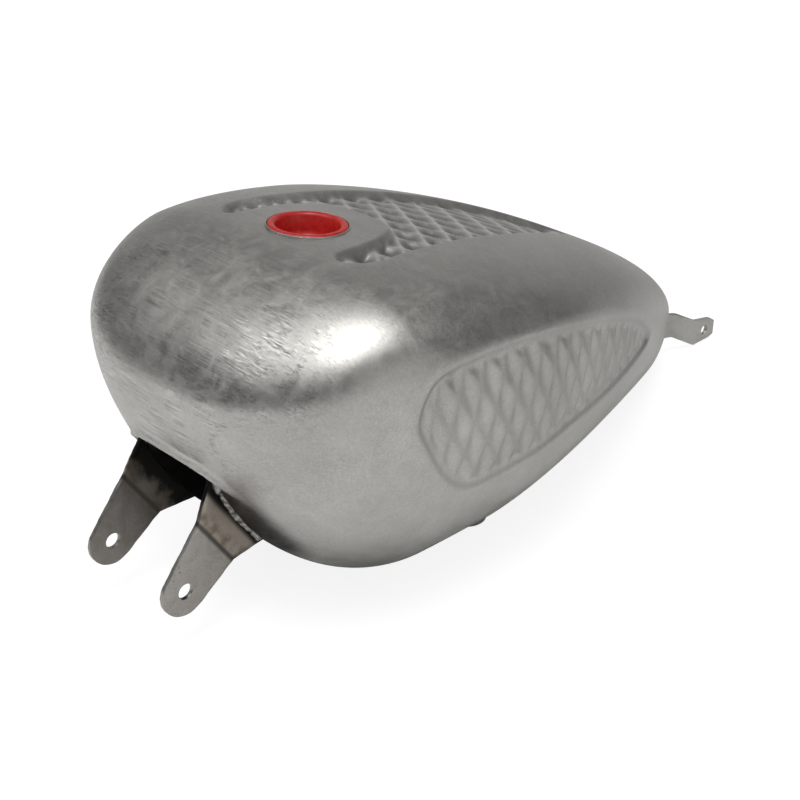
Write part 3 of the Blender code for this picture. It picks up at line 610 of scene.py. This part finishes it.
def build_filler(place, steel, plastic):
    neck = [(NECK_R, 0.0006), (NECK_R, -0.030), (NECK_BORE_R, -0.030), (NECK_BORE_R, -0.0016),
            (NECK_SEAT_R, -0.0016), (NECK_SEAT_R, 0.0006)]
    obj = turned("filler_neck_ring", rounded(neck, 0.0003, 3), place)
    add_piece(obj, "tank", "bare_steel", "filler_neck", material=steel)
    lip, cup = 0.0253, 0.0204
    outer = [(0, -0.0160), (0.0195, -0.0160), (0.0208, -0.0150), (0.0221, -0.0013), (lip, -0.0013)]
    rim = [(lip + 0.0003 * math.sin(a), -0.0004 + 0.0013 * -math.cos(a)) for a in np.radians((20, 60, 90))]
    crown = [(lip, 0.0006), (lip - 0.0010, 0.0011), (lip - 0.0022, 0.0012), (lip - 0.0034, 0.0009),
             (cup + 0.0006, 0.0002), (cup, -0.0008)]
    inner = [(cup - 0.0006, -0.0100), (cup - 0.0012, -0.0125), (cup - 0.0030, -0.0138), (0.0120, -0.0142),
             (0.0060, -0.0140), (0, -0.0139)]
    obj = turned("filler_plug_cup", outer + rim + crown + inner, place, closed=False)
    add_piece(obj, "filler_plug", "red_plastic", "filler_plug", material=plastic)


# ---------------------------------------------------------------- ears
def tangent_angle(point, turn):
    offset = np.array(point) - EAR_HOLE
    return math.atan2(offset[1], offset[0]) + turn * math.acos(EAR_END_R / np.linalg.norm(offset))


def ear_x(y, z):
    """The middle plane's x: flat up to the crease, then leaning in towards the root."""
    crease_a, crease_b = np.array(EAR_CREASE[0]), np.array(EAR_CREASE[1])
    along = (crease_b - crease_a) / np.linalg.norm(crease_b - crease_a)
    past = float(np.dot(np.array((y, z)) - crease_a, (-along[1], along[0])))
    run = 0.0262
    bend = 0.0025
    return EAR_X + (EAR_ROOT_X - EAR_X) / run * (past + math.sqrt(past**2 + bend**2)) / 2


def ear_rows(columns):
    """Rows of (y, z) across the ear, from the root to the tip."""
    front = tangent_angle(EAR_CREASE[0], 1)
    rear = tangent_angle(EAR_CREASE[1], -1) + 2 * math.pi
    tip = (front + rear) / 2
    rows = []

    def row(a, b):
        rows.append([np.array(a) * (1 - s) + np.array(b) * s for s in np.linspace(0, 1, columns)])

    def end(angle):
        return (EAR_HOLE[0] + EAR_END_R * math.cos(angle), EAR_HOLE[1] + EAR_END_R * math.sin(angle))

    for s in np.linspace(1, 0, 15)[:-1]:
        a, b = (np.array(EAR_CREASE[i]) * (1 - s) + np.array(EAR_ROOT[i]) * s for i in (0, 1))
        row(a, b)
    for s in np.linspace(0, 1, 17)[:-1]:
        a, b = np.array(EAR_CREASE[0]), np.array(EAR_CREASE[1])
        row(a * (1 - s) + np.array(end(front)) * s, b * (1 - s) + np.array(end(rear)) * s)
    for s in np.linspace(0, 1, 17)[:-1]:
        row(end(front + (tip - front) * s), end(rear + (tip - rear) * s))
    return rows, end(tip)


def build_ear(name, side, material):
    columns = 13
    rows, tip = ear_rows(columns)
    root_rows = 14
    for j in range(columns):
        crease = rows[root_rows][j]
        for i in range(root_rows):
            rows[i][j] = crease + (rows[0][j] - crease) * (root_rows - i) / root_rows
        reach = 1.3
        low = 0.5
        for _ in range(18):
            middle = (low + reach) / 2
            y, z = crease + (rows[0][j] - crease) * middle
            low, reach = (low, middle) if is_inside((ear_x(y, z), y, z)) else (middle, reach)
        direction = (rows[0][j] - crease) * (reach + 0.03)
        for i in range(root_rows):
            rows[i][j] = crease + direction * (root_rows - i) / root_rows
    vertices = []
    for y, z in [point for row in rows for point in row] + [tip]:
        uneven = 0.00014 * math.sin(520 * y + 3 * side) + 0.00009 * math.sin(1100 * z)
        vertices.append((side * ear_x(y, z), y + uneven, z - uneven * 0.6))
    count, last = len(vertices) - 1, (len(rows) - 1) * columns
    faces = grid_faces(len(rows), columns) + [(last + j, count, last + j + 1) for j in range(columns - 1)]
    faces = faces if side < 0 else [face[::-1] for face in faces]
    obj = mesh_object(name, vertices, faces, 30)
    solidify(obj, EAR_THICK, 0)
    place = Matrix.Translation((side * EAR_X, *EAR_HOLE)) @ Matrix.Rotation(math.pi / 2, 4, "Y")
    hole = cylinder("hole", EAR_HOLE_R, -0.01, 0.01, place, 48)
    cut(obj, hole)
    trim = body_solid()
    cut(obj, trim)
    bevel(obj, 0.0005, 2, 50)
    bake(obj, 35)
    bpy.data.objects.remove(hole)
    bpy.data.objects.remove(trim)
    return obj


# ---------------------------------------------------------------- welds
def weld_bead(name, points, radius, seed, cyclic=False, pitch=0.0015, flatten=0.75):
    """A hand-laid bead: overlapping scales along the points, uneven in width and height."""
    rng = np.random.default_rng(seed)
    line = np.array([tuple(p) for p in points])
    if cyclic:
        line = np.concatenate([line, line[:1]])
    length = np.linalg.norm(np.diff(line, axis=0), axis=1).sum()
    count = int(length / 0.00035)
    line = spaced(line, count)
    if cyclic:
        line = line[:-1]
        count -= 1
    around = 14
    place = np.arange(count) / count
    slow = sum(rng.normal() * np.sin(2 * math.pi * (k * place + rng.random())) / math.sqrt(k) for k in range(2, 9))
    jitter = sum(rng.normal() * np.sin(2 * math.pi * (k * place + rng.random())) for k in range(4, 14)) / 6
    vertices = []
    for i, centre in enumerate(line):
        ahead = line[(i + 1) % count] if cyclic else line[min(i + 1, count - 1)]
        behind = line[i - 1] if cyclic else line[max(i - 1, 0)]
        tangent = Vector(ahead - behind).normalized()
        side = tangent.cross(Vector((0.3, -0.6, 0.7))).normalized()
        up = side.cross(tangent)
        phase = (i * length / count / pitch + 0.35 * slow[i]) % 1
        scale = radius * (0.90 + 0.11 * float(slow[i]) + 0.13 * math.sqrt(phase))
        taper = 1 if cyclic else min(1, 0.3 + min(i, count - 1 - i) / (0.0035 * count / length))
        shift = Vector(centre) + side * float(jitter[i]) * radius * 0.25
        for k in range(around):
            turn = 2 * math.pi * k / around
            lumps = 1 + 0.07 * math.sin(3 * turn + 9 * float(slow[i]))
            reach = scale * taper * lumps
            vertices.append(shift + side * (reach * math.cos(turn)) + up * (reach * flatten * math.sin(turn)))
    faces = grid_faces(count, around, closed=True)
    if cyclic:
        last = (count - 1) * around
        faces += [(last + k, k, (k + 1) % around, last + (k + 1) % around) for k in range(around)]
    else:
        faces += [tuple(range(around)), tuple(range(len(vertices) - 1, len(vertices) - around - 1, -1))]
    return mesh_object(name, vertices, faces, 60)


def build_welds(material):
    for name, side, seed in (("left", 1, 3), ("right", -1, 8)):
        points = []
        for share in np.linspace(0.0, 0.97, 40):
            height = EAR_ROOT[0][1] + (EAR_ROOT[1][1] - EAR_ROOT[0][1]) * share
            points.append(reach_skin((side * (EAR_ROOT_X + 0.0022), -0.06, height), (0, 1, 0)))
        obj = weld_bead("ear_bead_" + name, points, 0.0026, seed)
        add_piece(obj, "tank", "weld_metal", "ear_weld_" + name, material=material)
    height = TUNNEL_FRONT_Z + 0.0004
    points = [reach_skin((x, -0.05, height), (0, 1, 0)) for x in np.linspace(-0.0335, 0.0335, 40)]
    obj = weld_bead("mouth_bead", points, 0.0009, 5, pitch=0.0016)
    add_piece(obj, "tank", "weld_metal", "mouth_weld", material=material)
    centre_x, centre_z, aside, half = 0.0033, 0.0280, 0.0026, 0.0100
    loop = [(centre_x + aside, centre_z + z) for z in np.linspace(-half, half, 9)]
    for angle in np.radians((30, 60, 90, 120, 150)):
        loop.append((centre_x + aside * math.cos(angle), centre_z + half + aside * math.sin(angle)))
    loop += [(2 * centre_x - x, 2 * centre_z - z) for x, z in loop]
    points = [reach_skin((x, 0.560, z), (0, -1, 0)) for x, z in loop]
    obj = weld_bead("tab_bead", points, 0.0013, 11, cyclic=True, pitch=0.0018)
    add_piece(obj, "tank", "weld_metal", "rear_tab_weld", material=material)


def build_spatter(material):
    """Drops of weld metal that have stuck to the ears: side, face, y, z and radius."""
    built = bmesh.new()
    for side, face, y, z, radius in (
        (1, 1, -0.0200, 0.0620, 0.0009), (1, 1, -0.0190, 0.0580, 0.0007), (1, 1, -0.0240, 0.0540, 0.0004),
        (-1, -1, -0.0305, 0.0400, 0.0006), (-1, -1, -0.0120, 0.0630, 0.0005), (1, 1, -0.0050, 0.0300, 0.0004),
    ):
        spot = (side * (EAR_X + face * EAR_THICK / 2), y, z)
        drop = Matrix.Translation(spot) @ Matrix.Diagonal((0.6, 1, 1.1, 1))
        bmesh.ops.create_icosphere(built, subdivisions=3, radius=radius, matrix=drop)
    mesh = bpy.data.meshes.new("ear_spatter")
    built.to_mesh(mesh)
    built.free()
    mesh.shade_smooth()
    obj = bpy.data.objects.new("ear_spatter", mesh)
    bpy.context.scene.collection.objects.link(obj)
    add_piece(obj, "tank", "weld_metal", material=material)


# ---------------------------------------------------------------- rear tab
def build_tab(material):
    root, plate = np.array(TAB_STATIONS[:4]), np.array(TAB_STATIONS[3:])
    root = smooth_outline(root, closed=False, steps=8)
    plate = [plate[0] + (plate[1] - plate[0]) * s for s in (0, 0.25, 0.5, 0.75)] + list(plate[1:])
    stations = np.concatenate([root, plate])
    rows = []
    columns = 9
    for x, y, z, height in stations:
        dish = 0.0022 * math.exp(-(((y - 0.535) / 0.008) ** 2))
        row = []
        for s in np.linspace(-0.5, 0.5, columns):
            row.append((x + dish * (1 - (2 * s) ** 2) * -1, y, z + height * s))
        rows.append(row)
    points = [p for row in rows for p in row]
    obj = mesh_object("tab_strip", points, grid_faces(len(rows), columns), 30)
    solidify(obj, TAB_THICK, 0)
    place = Matrix.Translation((TAB_STATIONS[-1][0], *TAB_HOLE)) @ Matrix.Rotation(math.pi / 2, 4, "Y")
    hole = cylinder("hole", TAB_HOLE_R, -0.01, 0.01, place, 48)
    cut(obj, hole)
    trim = body_solid()
    cut(obj, trim)
    bevel(obj, 0.0005, 2, 50)
    bake(obj, 35)
    bpy.data.objects.remove(hole)
    bpy.data.objects.remove(trim)
    add_piece(obj, "tank", "bare_steel", "rear_tab", material=material)


# ---------------------------------------------------------------- outlet and breather
def build_underside(steel, plastic, rubber):
    low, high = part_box("outlet_bung")
    centre = (low + high) / 2
    radius, height = (high.x - low.x) / 2, high.z - low.z
    place = Matrix.Translation((centre.x, centre.y - NOSE_Y, low.z))
    bore = 0.0103
    obj = turned("outlet_ring", rounded([(radius, height), (radius, 0), (bore, 0), (bore, height)], 0.0006, 4), place)
    add_piece(obj, "tank", "bare_steel", "outlet_bung", material=steel)
    low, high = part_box("outlet_plug")
    radius, height = (high.x - low.x) / 2, high.z - low.z
    dish = [(radius - 0.0030, 0.0006), (radius - 0.0034, 0.0030), (0, 0.0034)]
    outer = [(0, height), (radius - 0.001, height), (radius - 0.0002, height - 0.001), (radius, 0.0010),
             (radius - 0.0004, 0.0002), (radius - 0.0012, 0), (radius - 0.0024, 0.0001)]
    obj = turned("outlet_cup", outer + dish, place, closed=False)
    add_piece(obj, "outlet_plug", "red_plastic", "outlet_plug", material=plastic)
    low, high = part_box("vent_cap")
    radius, height = (high.x - low.x) / 2, high.z - low.z
    place = Matrix.Translation(((low.x + high.x) / 2, (low.y + high.y) / 2 - NOSE_Y, low.z))
    bore = 0.0033
    outer = [(0, 0), (radius - 0.0012, 0), (radius - 0.0004, 0.0004), (radius, 0.0012), (radius, height - 0.0012)]
    rim = [(radius - 0.0002, height - 0.0004), (radius - 0.0008, height), (bore, height), (bore, 0.002), (0, 0.002)]
    obj = turned("vent_boot", outer + rim, place, closed=False)
    add_piece(obj, "vent_cap", "black_rubber", "vent_cap", material=rubber)


# ---------------------------------------------------------------- materials
def add(tree, kind, inputs=None, **settings):
    made = tree.nodes.new(kind)
    for key, value in settings.items():
        setattr(made, key, value)
    for key, value in (inputs or {}).items():
        if isinstance(value, bpy.types.NodeSocket):
            tree.links.new(value, made.inputs[key])
        else:
            made.inputs[key].default_value = value
    return made


def new_material(name):
    made = bpy.data.materials.new(name)
    made.use_nodes = True
    tree = made.node_tree
    return made, tree, tree.nodes["Principled BSDF"]


def place_of(tree):
    return add(tree, "ShaderNodeTexCoord").outputs["Object"]


def stretched(tree, place, scale=(1, 1, 1), turn=(0, 0, 0)):
    return add(tree, "ShaderNodeMapping", {"Vector": place, "Scale": scale, "Rotation": turn}).outputs[0]


def noise(tree, place, scale, detail=4.0, roughness=0.5, distortion=0.0):
    inputs = {"Vector": place, "Scale": scale, "Detail": detail, "Roughness": roughness, "Distortion": distortion}
    return add(tree, "ShaderNodeTexNoise", inputs).outputs["Fac"]


def spread(tree, value, low, high, to_low=0.0, to_high=1.0, smooth_step=True):
    """Map low..high to to_low..to_high, clamped."""
    inputs = {"Value": value, "From Min": low, "From Max": high, "To Min": to_low, "To Max": to_high}
    kind = "SMOOTHSTEP" if smooth_step else "LINEAR"
    return add(tree, "ShaderNodeMapRange", inputs, interpolation_type=kind).outputs[0]


def calc(tree, operation, a, b=0.0):
    return add(tree, "ShaderNodeMath", {0: a, 1: b}, operation=operation).outputs[0]


def blend_colors(tree, share, a, b, kind="MIX"):
    made = add(tree, "ShaderNodeMix", data_type="RGBA", blend_type=kind)
    for key, value in ((0, share), (6, a), (7, b)):
        if isinstance(value, bpy.types.NodeSocket):
            tree.links.new(value, made.inputs[key])
        elif key:
            made.inputs[key].default_value = (*value, 1)
        else:
            made.inputs[key].default_value = value
    return made.outputs[2]


def nearness(tree, place, centre, radius, softness=0.5):
    """1 at a point of the nose's frame, falling to 0 at the radius."""
    spot = (centre[0], centre[1] + NOSE_Y, centre[2])
    away = add(tree, "ShaderNodeVectorMath", {0: place, 1: spot}, operation="DISTANCE").outputs["Value"]
    return spread(tree, away, radius, radius * softness)


def streaks(tree, place, turn, length, width, low=0.3, high=0.7, distortion=0.0):
    """Marks that run one way, from 0 to 1."""
    along = stretched(tree, place, (1 / length, 1 / width, 1 / width), turn)
    return spread(tree, noise(tree, along, 1.0, 3.0, 0.6, distortion), low, high)


# How a sheet has been rubbed: turn, length and width of the strokes, and where they thin out
STROKES = (
    ((0.2, 0.3, 0.9), 0.045, 0.0010), ((0.5, -0.4, -0.7), 0.030, 0.0007),
    ((-0.4, 0.9, 0.2), 0.055, 0.0013), ((0.1, 1.4, 0.4), 0.035, 0.0009),
)


def raw_steel(name, dark, light, rough=0.42, stain=1.0, extra=None):
    """Cold-rolled sheet as it left the press: cloudy, scratched, oiled and wiped."""
    made, tree, shader = new_material(name)
    place = place_of(tree)
    clouds = noise(tree, place, 9, 4, 0.55, 0.3)
    patches = noise(tree, place, 60, 9, 0.72, 0.9)
    grain = noise(tree, place, 650, 4, 0.6)
    lines = 0.0
    for i, (turn, length, width) in enumerate(STROKES):
        zone = spread(tree, noise(tree, stretched(tree, place, turn=(i, i, i)), 16, 4, 0.6), 0.45, 0.62)
        centred = calc(tree, "SUBTRACT", streaks(tree, place, turn, length, width), 0.5)
        lines = calc(tree, "ADD", calc(tree, "MULTIPLY", centred, zone), lines)
    tone = calc(tree, "ADD", calc(tree, "MULTIPLY", clouds, 0.5), calc(tree, "MULTIPLY", patches, 0.5))
    color = blend_colors(tree, spread(tree, tone, 0.34, 0.66), dark, light)
    speck = calc(tree, "ADD", spread(tree, grain, 0.30, 0.70, 0.94, 1.06), calc(tree, "MULTIPLY", lines, 0.10))
    bright = add(tree, "ShaderNodeCombineColor", {0: speck, 1: speck, 2: speck}).outputs[0]
    color = blend_colors(tree, 1.0, color, bright, "MULTIPLY")
    stains = spread(tree, noise(tree, place, 30, 8, 0.75, 1.4), 0.57, 0.74, 0, 0.30 * stain)
    color = blend_colors(tree, stains, color, (0.20, 0.185, 0.165))
    roughness = spread(tree, patches, 0.3, 0.7, rough - 0.05, rough + 0.06)
    roughness = calc(tree, "SUBTRACT", roughness, calc(tree, "MULTIPLY", lines, 0.10))
    height = calc(tree, "ADD", calc(tree, "MULTIPLY", grain, 0.4), calc(tree, "MULTIPLY", lines, 0.5))
    bump = add(tree, "ShaderNodeBump", {"Height": height, "Strength": 0.10, "Distance": 0.0003})
    wave = add(tree, "ShaderNodeBump", {
        "Height": noise(tree, place, 26, 3, 0.5), "Strength": 0.12, "Distance": 0.004, "Normal": bump.outputs[0]})
    if extra:
        color, roughness = extra(tree, place, color, roughness)
    for key, value in (("Base Color", color), ("Roughness", roughness), ("Normal", wave.outputs[0])):
        tree.links.new(value, shader.inputs[key])
    shader.inputs["Metallic"].default_value = 1.0
    return made


def mark(tree, name):
    return add(tree, "ShaderNodeAttribute", attribute_name=name).outputs["Fac"]


def skin_marks(tree, place, color, roughness):
    """Painted shade in the top's hollows, on the side's lattice lines and along the side recess's edge, a painted
    highlight on the top's ridges, weld smoke round the ears' welds and scuffs on the shoulder.
    """
    # Painted shade in the top's pockets.
    color = blend_colors(tree, calc(tree, "MULTIPLY", mark(tree, "top_hollow"), 0.70), color, (0.17, 0.165, 0.155))
    # Painted highlight on the top's ridges.
    color = blend_colors(tree, calc(tree, "MULTIPLY", mark(tree, "top_ridge_highlight"), 0.65), color, (0.86, 0.85, 0.83))
    # Painted shade on the side's lattice lines.
    color = blend_colors(tree, calc(tree, "MULTIPLY", mark(tree, "side_line_shade"), 0.34), color, (0.22, 0.215, 0.205))
    # Painted shade along the edge of the side recess.
    color = blend_colors(tree, calc(tree, "MULTIPLY", mark(tree, "side_wall_shade"), 0.30), color, (0.22, 0.215, 0.205))
    for side in (1, -1):
        for (x, y, z), radius, strength in (
            ((0.045, 0.019, 0.093), 0.024, 0.85), ((0.047, 0.027, 0.082), 0.030, 1.0),
            ((0.049, 0.035, 0.068), 0.034, 1.0), ((0.050, 0.044, 0.054), 0.034, 1.0),
        ):
            cloud = calc(tree, "MULTIPLY", nearness(tree, place, (side * x, y, z), radius, 0.25), strength)
            ragged = calc(tree, "MULTIPLY", cloud, spread(tree, noise(tree, place, 110, 5), 0.25, 0.62, 0.84, 1.0))
            color = blend_colors(tree, ragged, color, (0.035, 0.031, 0.027))
            roughness = calc(tree, "ADD", roughness, calc(tree, "MULTIPLY", ragged, 0.05))
    for spot, radius, turn, strength in (
        ((0.070, 0.030, 0.205), 0.065, (0.3, 0.5, 1.2), 0.95),
        ((0.025, 0.010, 0.185), 0.060, (0.2, 1.5, 0.3), 0.75),
        ((-0.060, 0.020, 0.195), 0.090, (0.5, 1.2, 0.2), 0.65),
        ((0.020, 0.012, 0.140), 0.080, (0.1, 1.5, 0.1), 0.65),
    ):
        zone = nearness(tree, place, spot, radius, 0.35)
        strokes = streaks(tree, place, turn, 0.030, 0.0016, 0.30, 0.70, 0.9)
        patch = spread(tree, noise(tree, place, 38, 8, 0.72, 1.2), 0.40, 0.62)
        rubbed = calc(tree, "MULTIPLY", calc(tree, "MULTIPLY", zone, patch), strength)
        color = blend_colors(tree, calc(tree, "MULTIPLY", rubbed, strokes), color, (0.16, 0.155, 0.145))
        shine = calc(tree, "MULTIPLY", rubbed, calc(tree, "SUBTRACT", 1.0, strokes))
        color = blend_colors(tree, calc(tree, "MULTIPLY", shine, 0.5), color, (0.80, 0.79, 0.77))
        roughness = calc(tree, "SUBTRACT", roughness, calc(tree, "MULTIPLY", shine, 0.16))
    return color, roughness


def ear_marks(tree, place, color, roughness):
    """Heat tint that runs from straw through brown to weld smoke at the root, with painted shade in the crease and, on
    the inner face, painted shade that deepens to a painted shadow near the root.
    """
    parts = add(tree, "ShaderNodeSeparateXYZ", {0: place})
    middle = [(EAR_CREASE[0][i] + EAR_CREASE[1][i]) / 2 for i in (0, 1)]
    along = Vector((EAR_CREASE[1][0] - EAR_CREASE[0][0], EAR_CREASE[1][1] - EAR_CREASE[0][1])).normalized()
    across = Vector((-along.y, along.x))
    past = calc(tree, "ADD", calc(tree, "MULTIPLY", parts.outputs[1], across.x), calc(tree, "MULTIPLY", parts.outputs[2], across.y))
    past = calc(tree, "SUBTRACT", past, across.x * (middle[0] + NOSE_Y) + across.y * middle[1])
    wobble = spread(tree, noise(tree, place, 90, 5, 0.6), 0.2, 0.8, -0.004, 0.004)
    heat = calc(tree, "ADD", past, wobble)
    color = blend_colors(tree, spread(tree, heat, -0.002, 0.004, 0, 0.60), color, (0.36, 0.31, 0.25))
    smudge = calc(tree, "MULTIPLY", spread(tree, heat, 0.014, 0.004), spread(tree, noise(tree, place, 75, 4), 0.44, 0.60))
    smudge = calc(tree, "MULTIPLY", smudge, spread(tree, heat, 0.000, 0.003, 0, 0.7))
    color = blend_colors(tree, smudge, color, (0.13, 0.085, 0.055))
    # Painted shade along the crease.
    crease = spread(tree, calc(tree, "ABSOLUTE", calc(tree, "ADD", past, 0.0002)), 0.0026, 0.0004, 0, 0.85)
    color = blend_colors(tree, crease, color, (0.05, 0.042, 0.036))
    color = blend_colors(tree, spread(tree, heat, 0.020, 0.027, 0, 0.5), color, (0.10, 0.095, 0.09))
    # Painted shade on the ear's inner face, which faces the tunnel, deepening to a painted shadow near the root.
    inner = spread(tree, calc(tree, "ABSOLUTE", parts.outputs[0]), EAR_X - 0.0004, EAR_X - 0.0010, 0, 1)
    inner_face_shade = calc(tree, "MULTIPLY", inner, spread(tree, heat, -0.020, 0.010, 0.25, 0.75))
    color = blend_colors(tree, inner_face_shade, color, (0.085, 0.072, 0.06))
    painted_shadow = calc(tree, "MULTIPLY", inner, spread(tree, heat, 0.006, 0.014, 0, 0.96))
    color = blend_colors(tree, painted_shadow, color, (0.010, 0.010, 0.010))
    return color, roughness


def weld_metal():
    made, tree, shader = new_material("weld metal")
    place = place_of(tree)
    patches = noise(tree, place, 220, 6, 0.7)
    color = blend_colors(tree, spread(tree, patches, 0.38, 0.60), (0.08, 0.07, 0.06), (0.46, 0.44, 0.41))
    color = blend_colors(tree, spread(tree, noise(tree, place, 90, 4), 0.58, 0.70, 0, 0.5), color, (0.20, 0.15, 0.11))
    bump = add(tree, "ShaderNodeBump", {"Height": noise(tree, place, 900, 4, 0.6), "Strength": 0.35, "Distance": 0.0004})
    for key, value in (("Base Color", color), ("Roughness", spread(tree, patches, 0.3, 0.7, 0.28, 0.55)), ("Normal", bump.outputs[0])):
        tree.links.new(value, shader.inputs[key])
    shader.inputs["Metallic"].default_value = 0.9
    return made


def moulded(name, low, high, rough, scale=260, sheen=0.0):
    """Moulded plastic or rubber: a slight cloud in its colour and a fine moulded grain."""
    made, tree, shader = new_material(name)
    place = place_of(tree)
    color = blend_colors(tree, spread(tree, noise(tree, place, scale, 5, 0.6), 0.35, 0.65), low, high)
    roughness = spread(tree, noise(tree, place, scale * 2, 3), 0.3, 0.7, rough - 0.05, rough + 0.08)
    bump = add(tree, "ShaderNodeBump", {"Height": noise(tree, place, 1500, 3), "Strength": 0.12, "Distance": 0.0003})
    for key, value in (("Base Color", color), ("Roughness", roughness), ("Normal", bump.outputs[0])):
        tree.links.new(value, shader.inputs[key])
    shader.inputs["Subsurface Weight"].default_value = sheen
    shader.inputs["Subsurface Scale"].default_value = 0.002
    return made


# ---------------------------------------------------------------- stage
# Glowing patches of the studio: azimuth, elevation and half width in degrees, edge softness, brightness
SOFTBOXES = (
    (40, 76, 21, 0.5, 1.7),
    (46, 76, 9, 0.5, 11.0),
    (318, 52, 15, 0.6, 1.7),
    (225, 4, 30, 0.8, 0.30),
    (90, 4, 24, 0.6, 0.50),
)
ROOM_GLOW = 0.19
FLOOR_TONE, FLOOR_SHADE = 0.95, 0.22


def build_stage():
    """A floor that the metal sees darkening towards the back, a painted falloff of light, and that the camera sees as
    nearly even white.
    """
    floor = mesh_object("floor", [(-6, -6, 0), (6, -6, 0), (6, 6, 0), (-6, 6, 0)], [(0, 1, 2, 3)])
    floor.location.z = cad_box[0][2] - 0.0002
    made, tree, shader = new_material("white floor")
    along = add(tree, "ShaderNodeSeparateXYZ", {0: place_of(tree)}).outputs[1]
    # The floor's colour darkens towards the back: a painted falloff of light, seen only in the metal's reflections.
    tone = spread(tree, along, -0.2, 0.7, FLOOR_TONE, FLOOR_TONE * 0.6)
    tree.links.new(add(tree, "ShaderNodeCombineColor", {0: tone, 1: tone, 2: tone}).outputs[0], shader.inputs[0])
    shader.inputs["Roughness"].default_value = 0.9
    shader.inputs["Specular IOR Level"].default_value = 0.1
    shade = add(tree, "ShaderNodeBsdfDiffuse", {"Color": (FLOOR_SHADE, FLOOR_SHADE, FLOOR_SHADE * 1.02, 1)})
    glow = add(tree, "ShaderNodeEmission", {"Color": (1, 1, 1, 1), "Strength": 1 - FLOOR_SHADE * 0.6})
    seen = add(tree, "ShaderNodeAddShader", {0: shade.outputs[0], 1: glow.outputs[0]})
    ray = add(tree, "ShaderNodeLightPath").outputs["Is Camera Ray"]
    both = add(tree, "ShaderNodeMixShader", {0: ray, 1: shader.outputs[0], 2: seen.outputs[0]})
    tree.links.new(both.outputs[0], tree.nodes["Material Output"].inputs["Surface"])
    floor.data.materials.append(made)


def direction_of(azimuth, elevation):
    """The direction from the object towards a camera at these view angles, in degrees."""
    a, e = math.radians(azimuth), math.radians(elevation)
    return Vector((math.sin(a) * math.cos(e), -math.cos(a) * math.cos(e), math.sin(e)))


def build_world():
    """A dim room with soft glowing patches; the camera sees it as white."""
    world = bpy.data.worlds.new("studio")
    bpy.context.scene.world = world
    world.use_nodes = True
    tree = world.node_tree
    background = tree.nodes["Background"]
    direction = add(tree, "ShaderNodeTexCoord").outputs["Generated"]
    total = ROOM_GLOW
    for azimuth, elevation, width, softness, brightness in SOFTBOXES:
        centre = direction_of(azimuth, elevation)
        facing = add(tree, "ShaderNodeVectorMath", {0: direction, 1: centre}, operation="DOT_PRODUCT")
        edge = math.cos(math.radians(width * (1 + softness)))
        core = math.cos(math.radians(width * (1 - softness)))
        total = calc(tree, "ADD", spread(tree, facing.outputs["Value"], edge, core, 0, brightness), total)
    ray = add(tree, "ShaderNodeLightPath").outputs["Is Camera Ray"]
    seen = calc(tree, "MAXIMUM", calc(tree, "MULTIPLY", total, calc(tree, "SUBTRACT", 1.0, ray)), ray)
    tree.links.new(seen, background.inputs[0])
    background.inputs[1].default_value = 1.0


def camera_place():
    away = direction_of(CAMERA_AZIMUTH, CAMERA_ELEVATION)
    aim = CAMERA_AIM + Vector((0, NOSE_Y, 0))
    return aim + away * CAMERA_DISTANCE, aim


def build_camera():
    data = bpy.data.cameras.new("camera")
    data.sensor_width = 36
    data.lens = 36 * FOCAL_SHARE
    obj = bpy.data.objects.new("camera", data)
    bpy.context.scene.collection.objects.link(obj)
    obj.location, aim = camera_place()
    obj.rotation_euler = (aim - obj.location).to_track_quat("-Z", "Y").to_euler()
    bpy.context.scene.camera = obj


def build():
    dark, light = (0.40, 0.39, 0.37), (0.53, 0.52, 0.495)
    skin = raw_steel("raw steel skin", dark, light, extra=skin_marks)
    plate = raw_steel("raw steel plate", dark, light, rough=0.40, stain=1.4)
    dull, worn = (0.24, 0.225, 0.205), (0.38, 0.365, 0.34)
    ear = raw_steel("heat tinted plate", dull, worn, rough=0.38, stain=1.6, extra=ear_marks)
    # The channel's steel is painted near black: painted shade for the inside of the tunnel.
    channel_shade = raw_steel("sooty channel", (0.006, 0.006, 0.006), (0.020, 0.018, 0.017), rough=0.55)
    weld = weld_metal()
    red = moulded("red polyethylene", (0.42, 0.012, 0.010), (0.52, 0.020, 0.015), 0.36, sheen=0.10)
    rubber = moulded("black rubber", (0.012, 0.012, 0.012), (0.03, 0.03, 0.03), 0.62)
    for node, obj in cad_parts.items():
        chosen = weld if "weld" in node else plate
        obj.data.materials.clear()
        obj.data.materials.append(chosen)

    filler = filler_place()
    build_skins(skin, filler, weld)
    build_tunnel(channel_shade)
    build_filler(filler, plate, red)
    for name, side in (("left", 1), ("right", -1)):
        obj = build_ear("ear_" + name, side, ear)
        add_piece(obj, "tank", "bare_steel", "front_ear_" + name, material=ear)
    build_welds(weld)
    build_spatter(weld)
    build_tab(plate)
    build_underside(plate, red, rubber)
    build_stage()
    build_world()
    build_camera()
    bpy.context.scene.view_settings.view_transform = "Standard"


build()
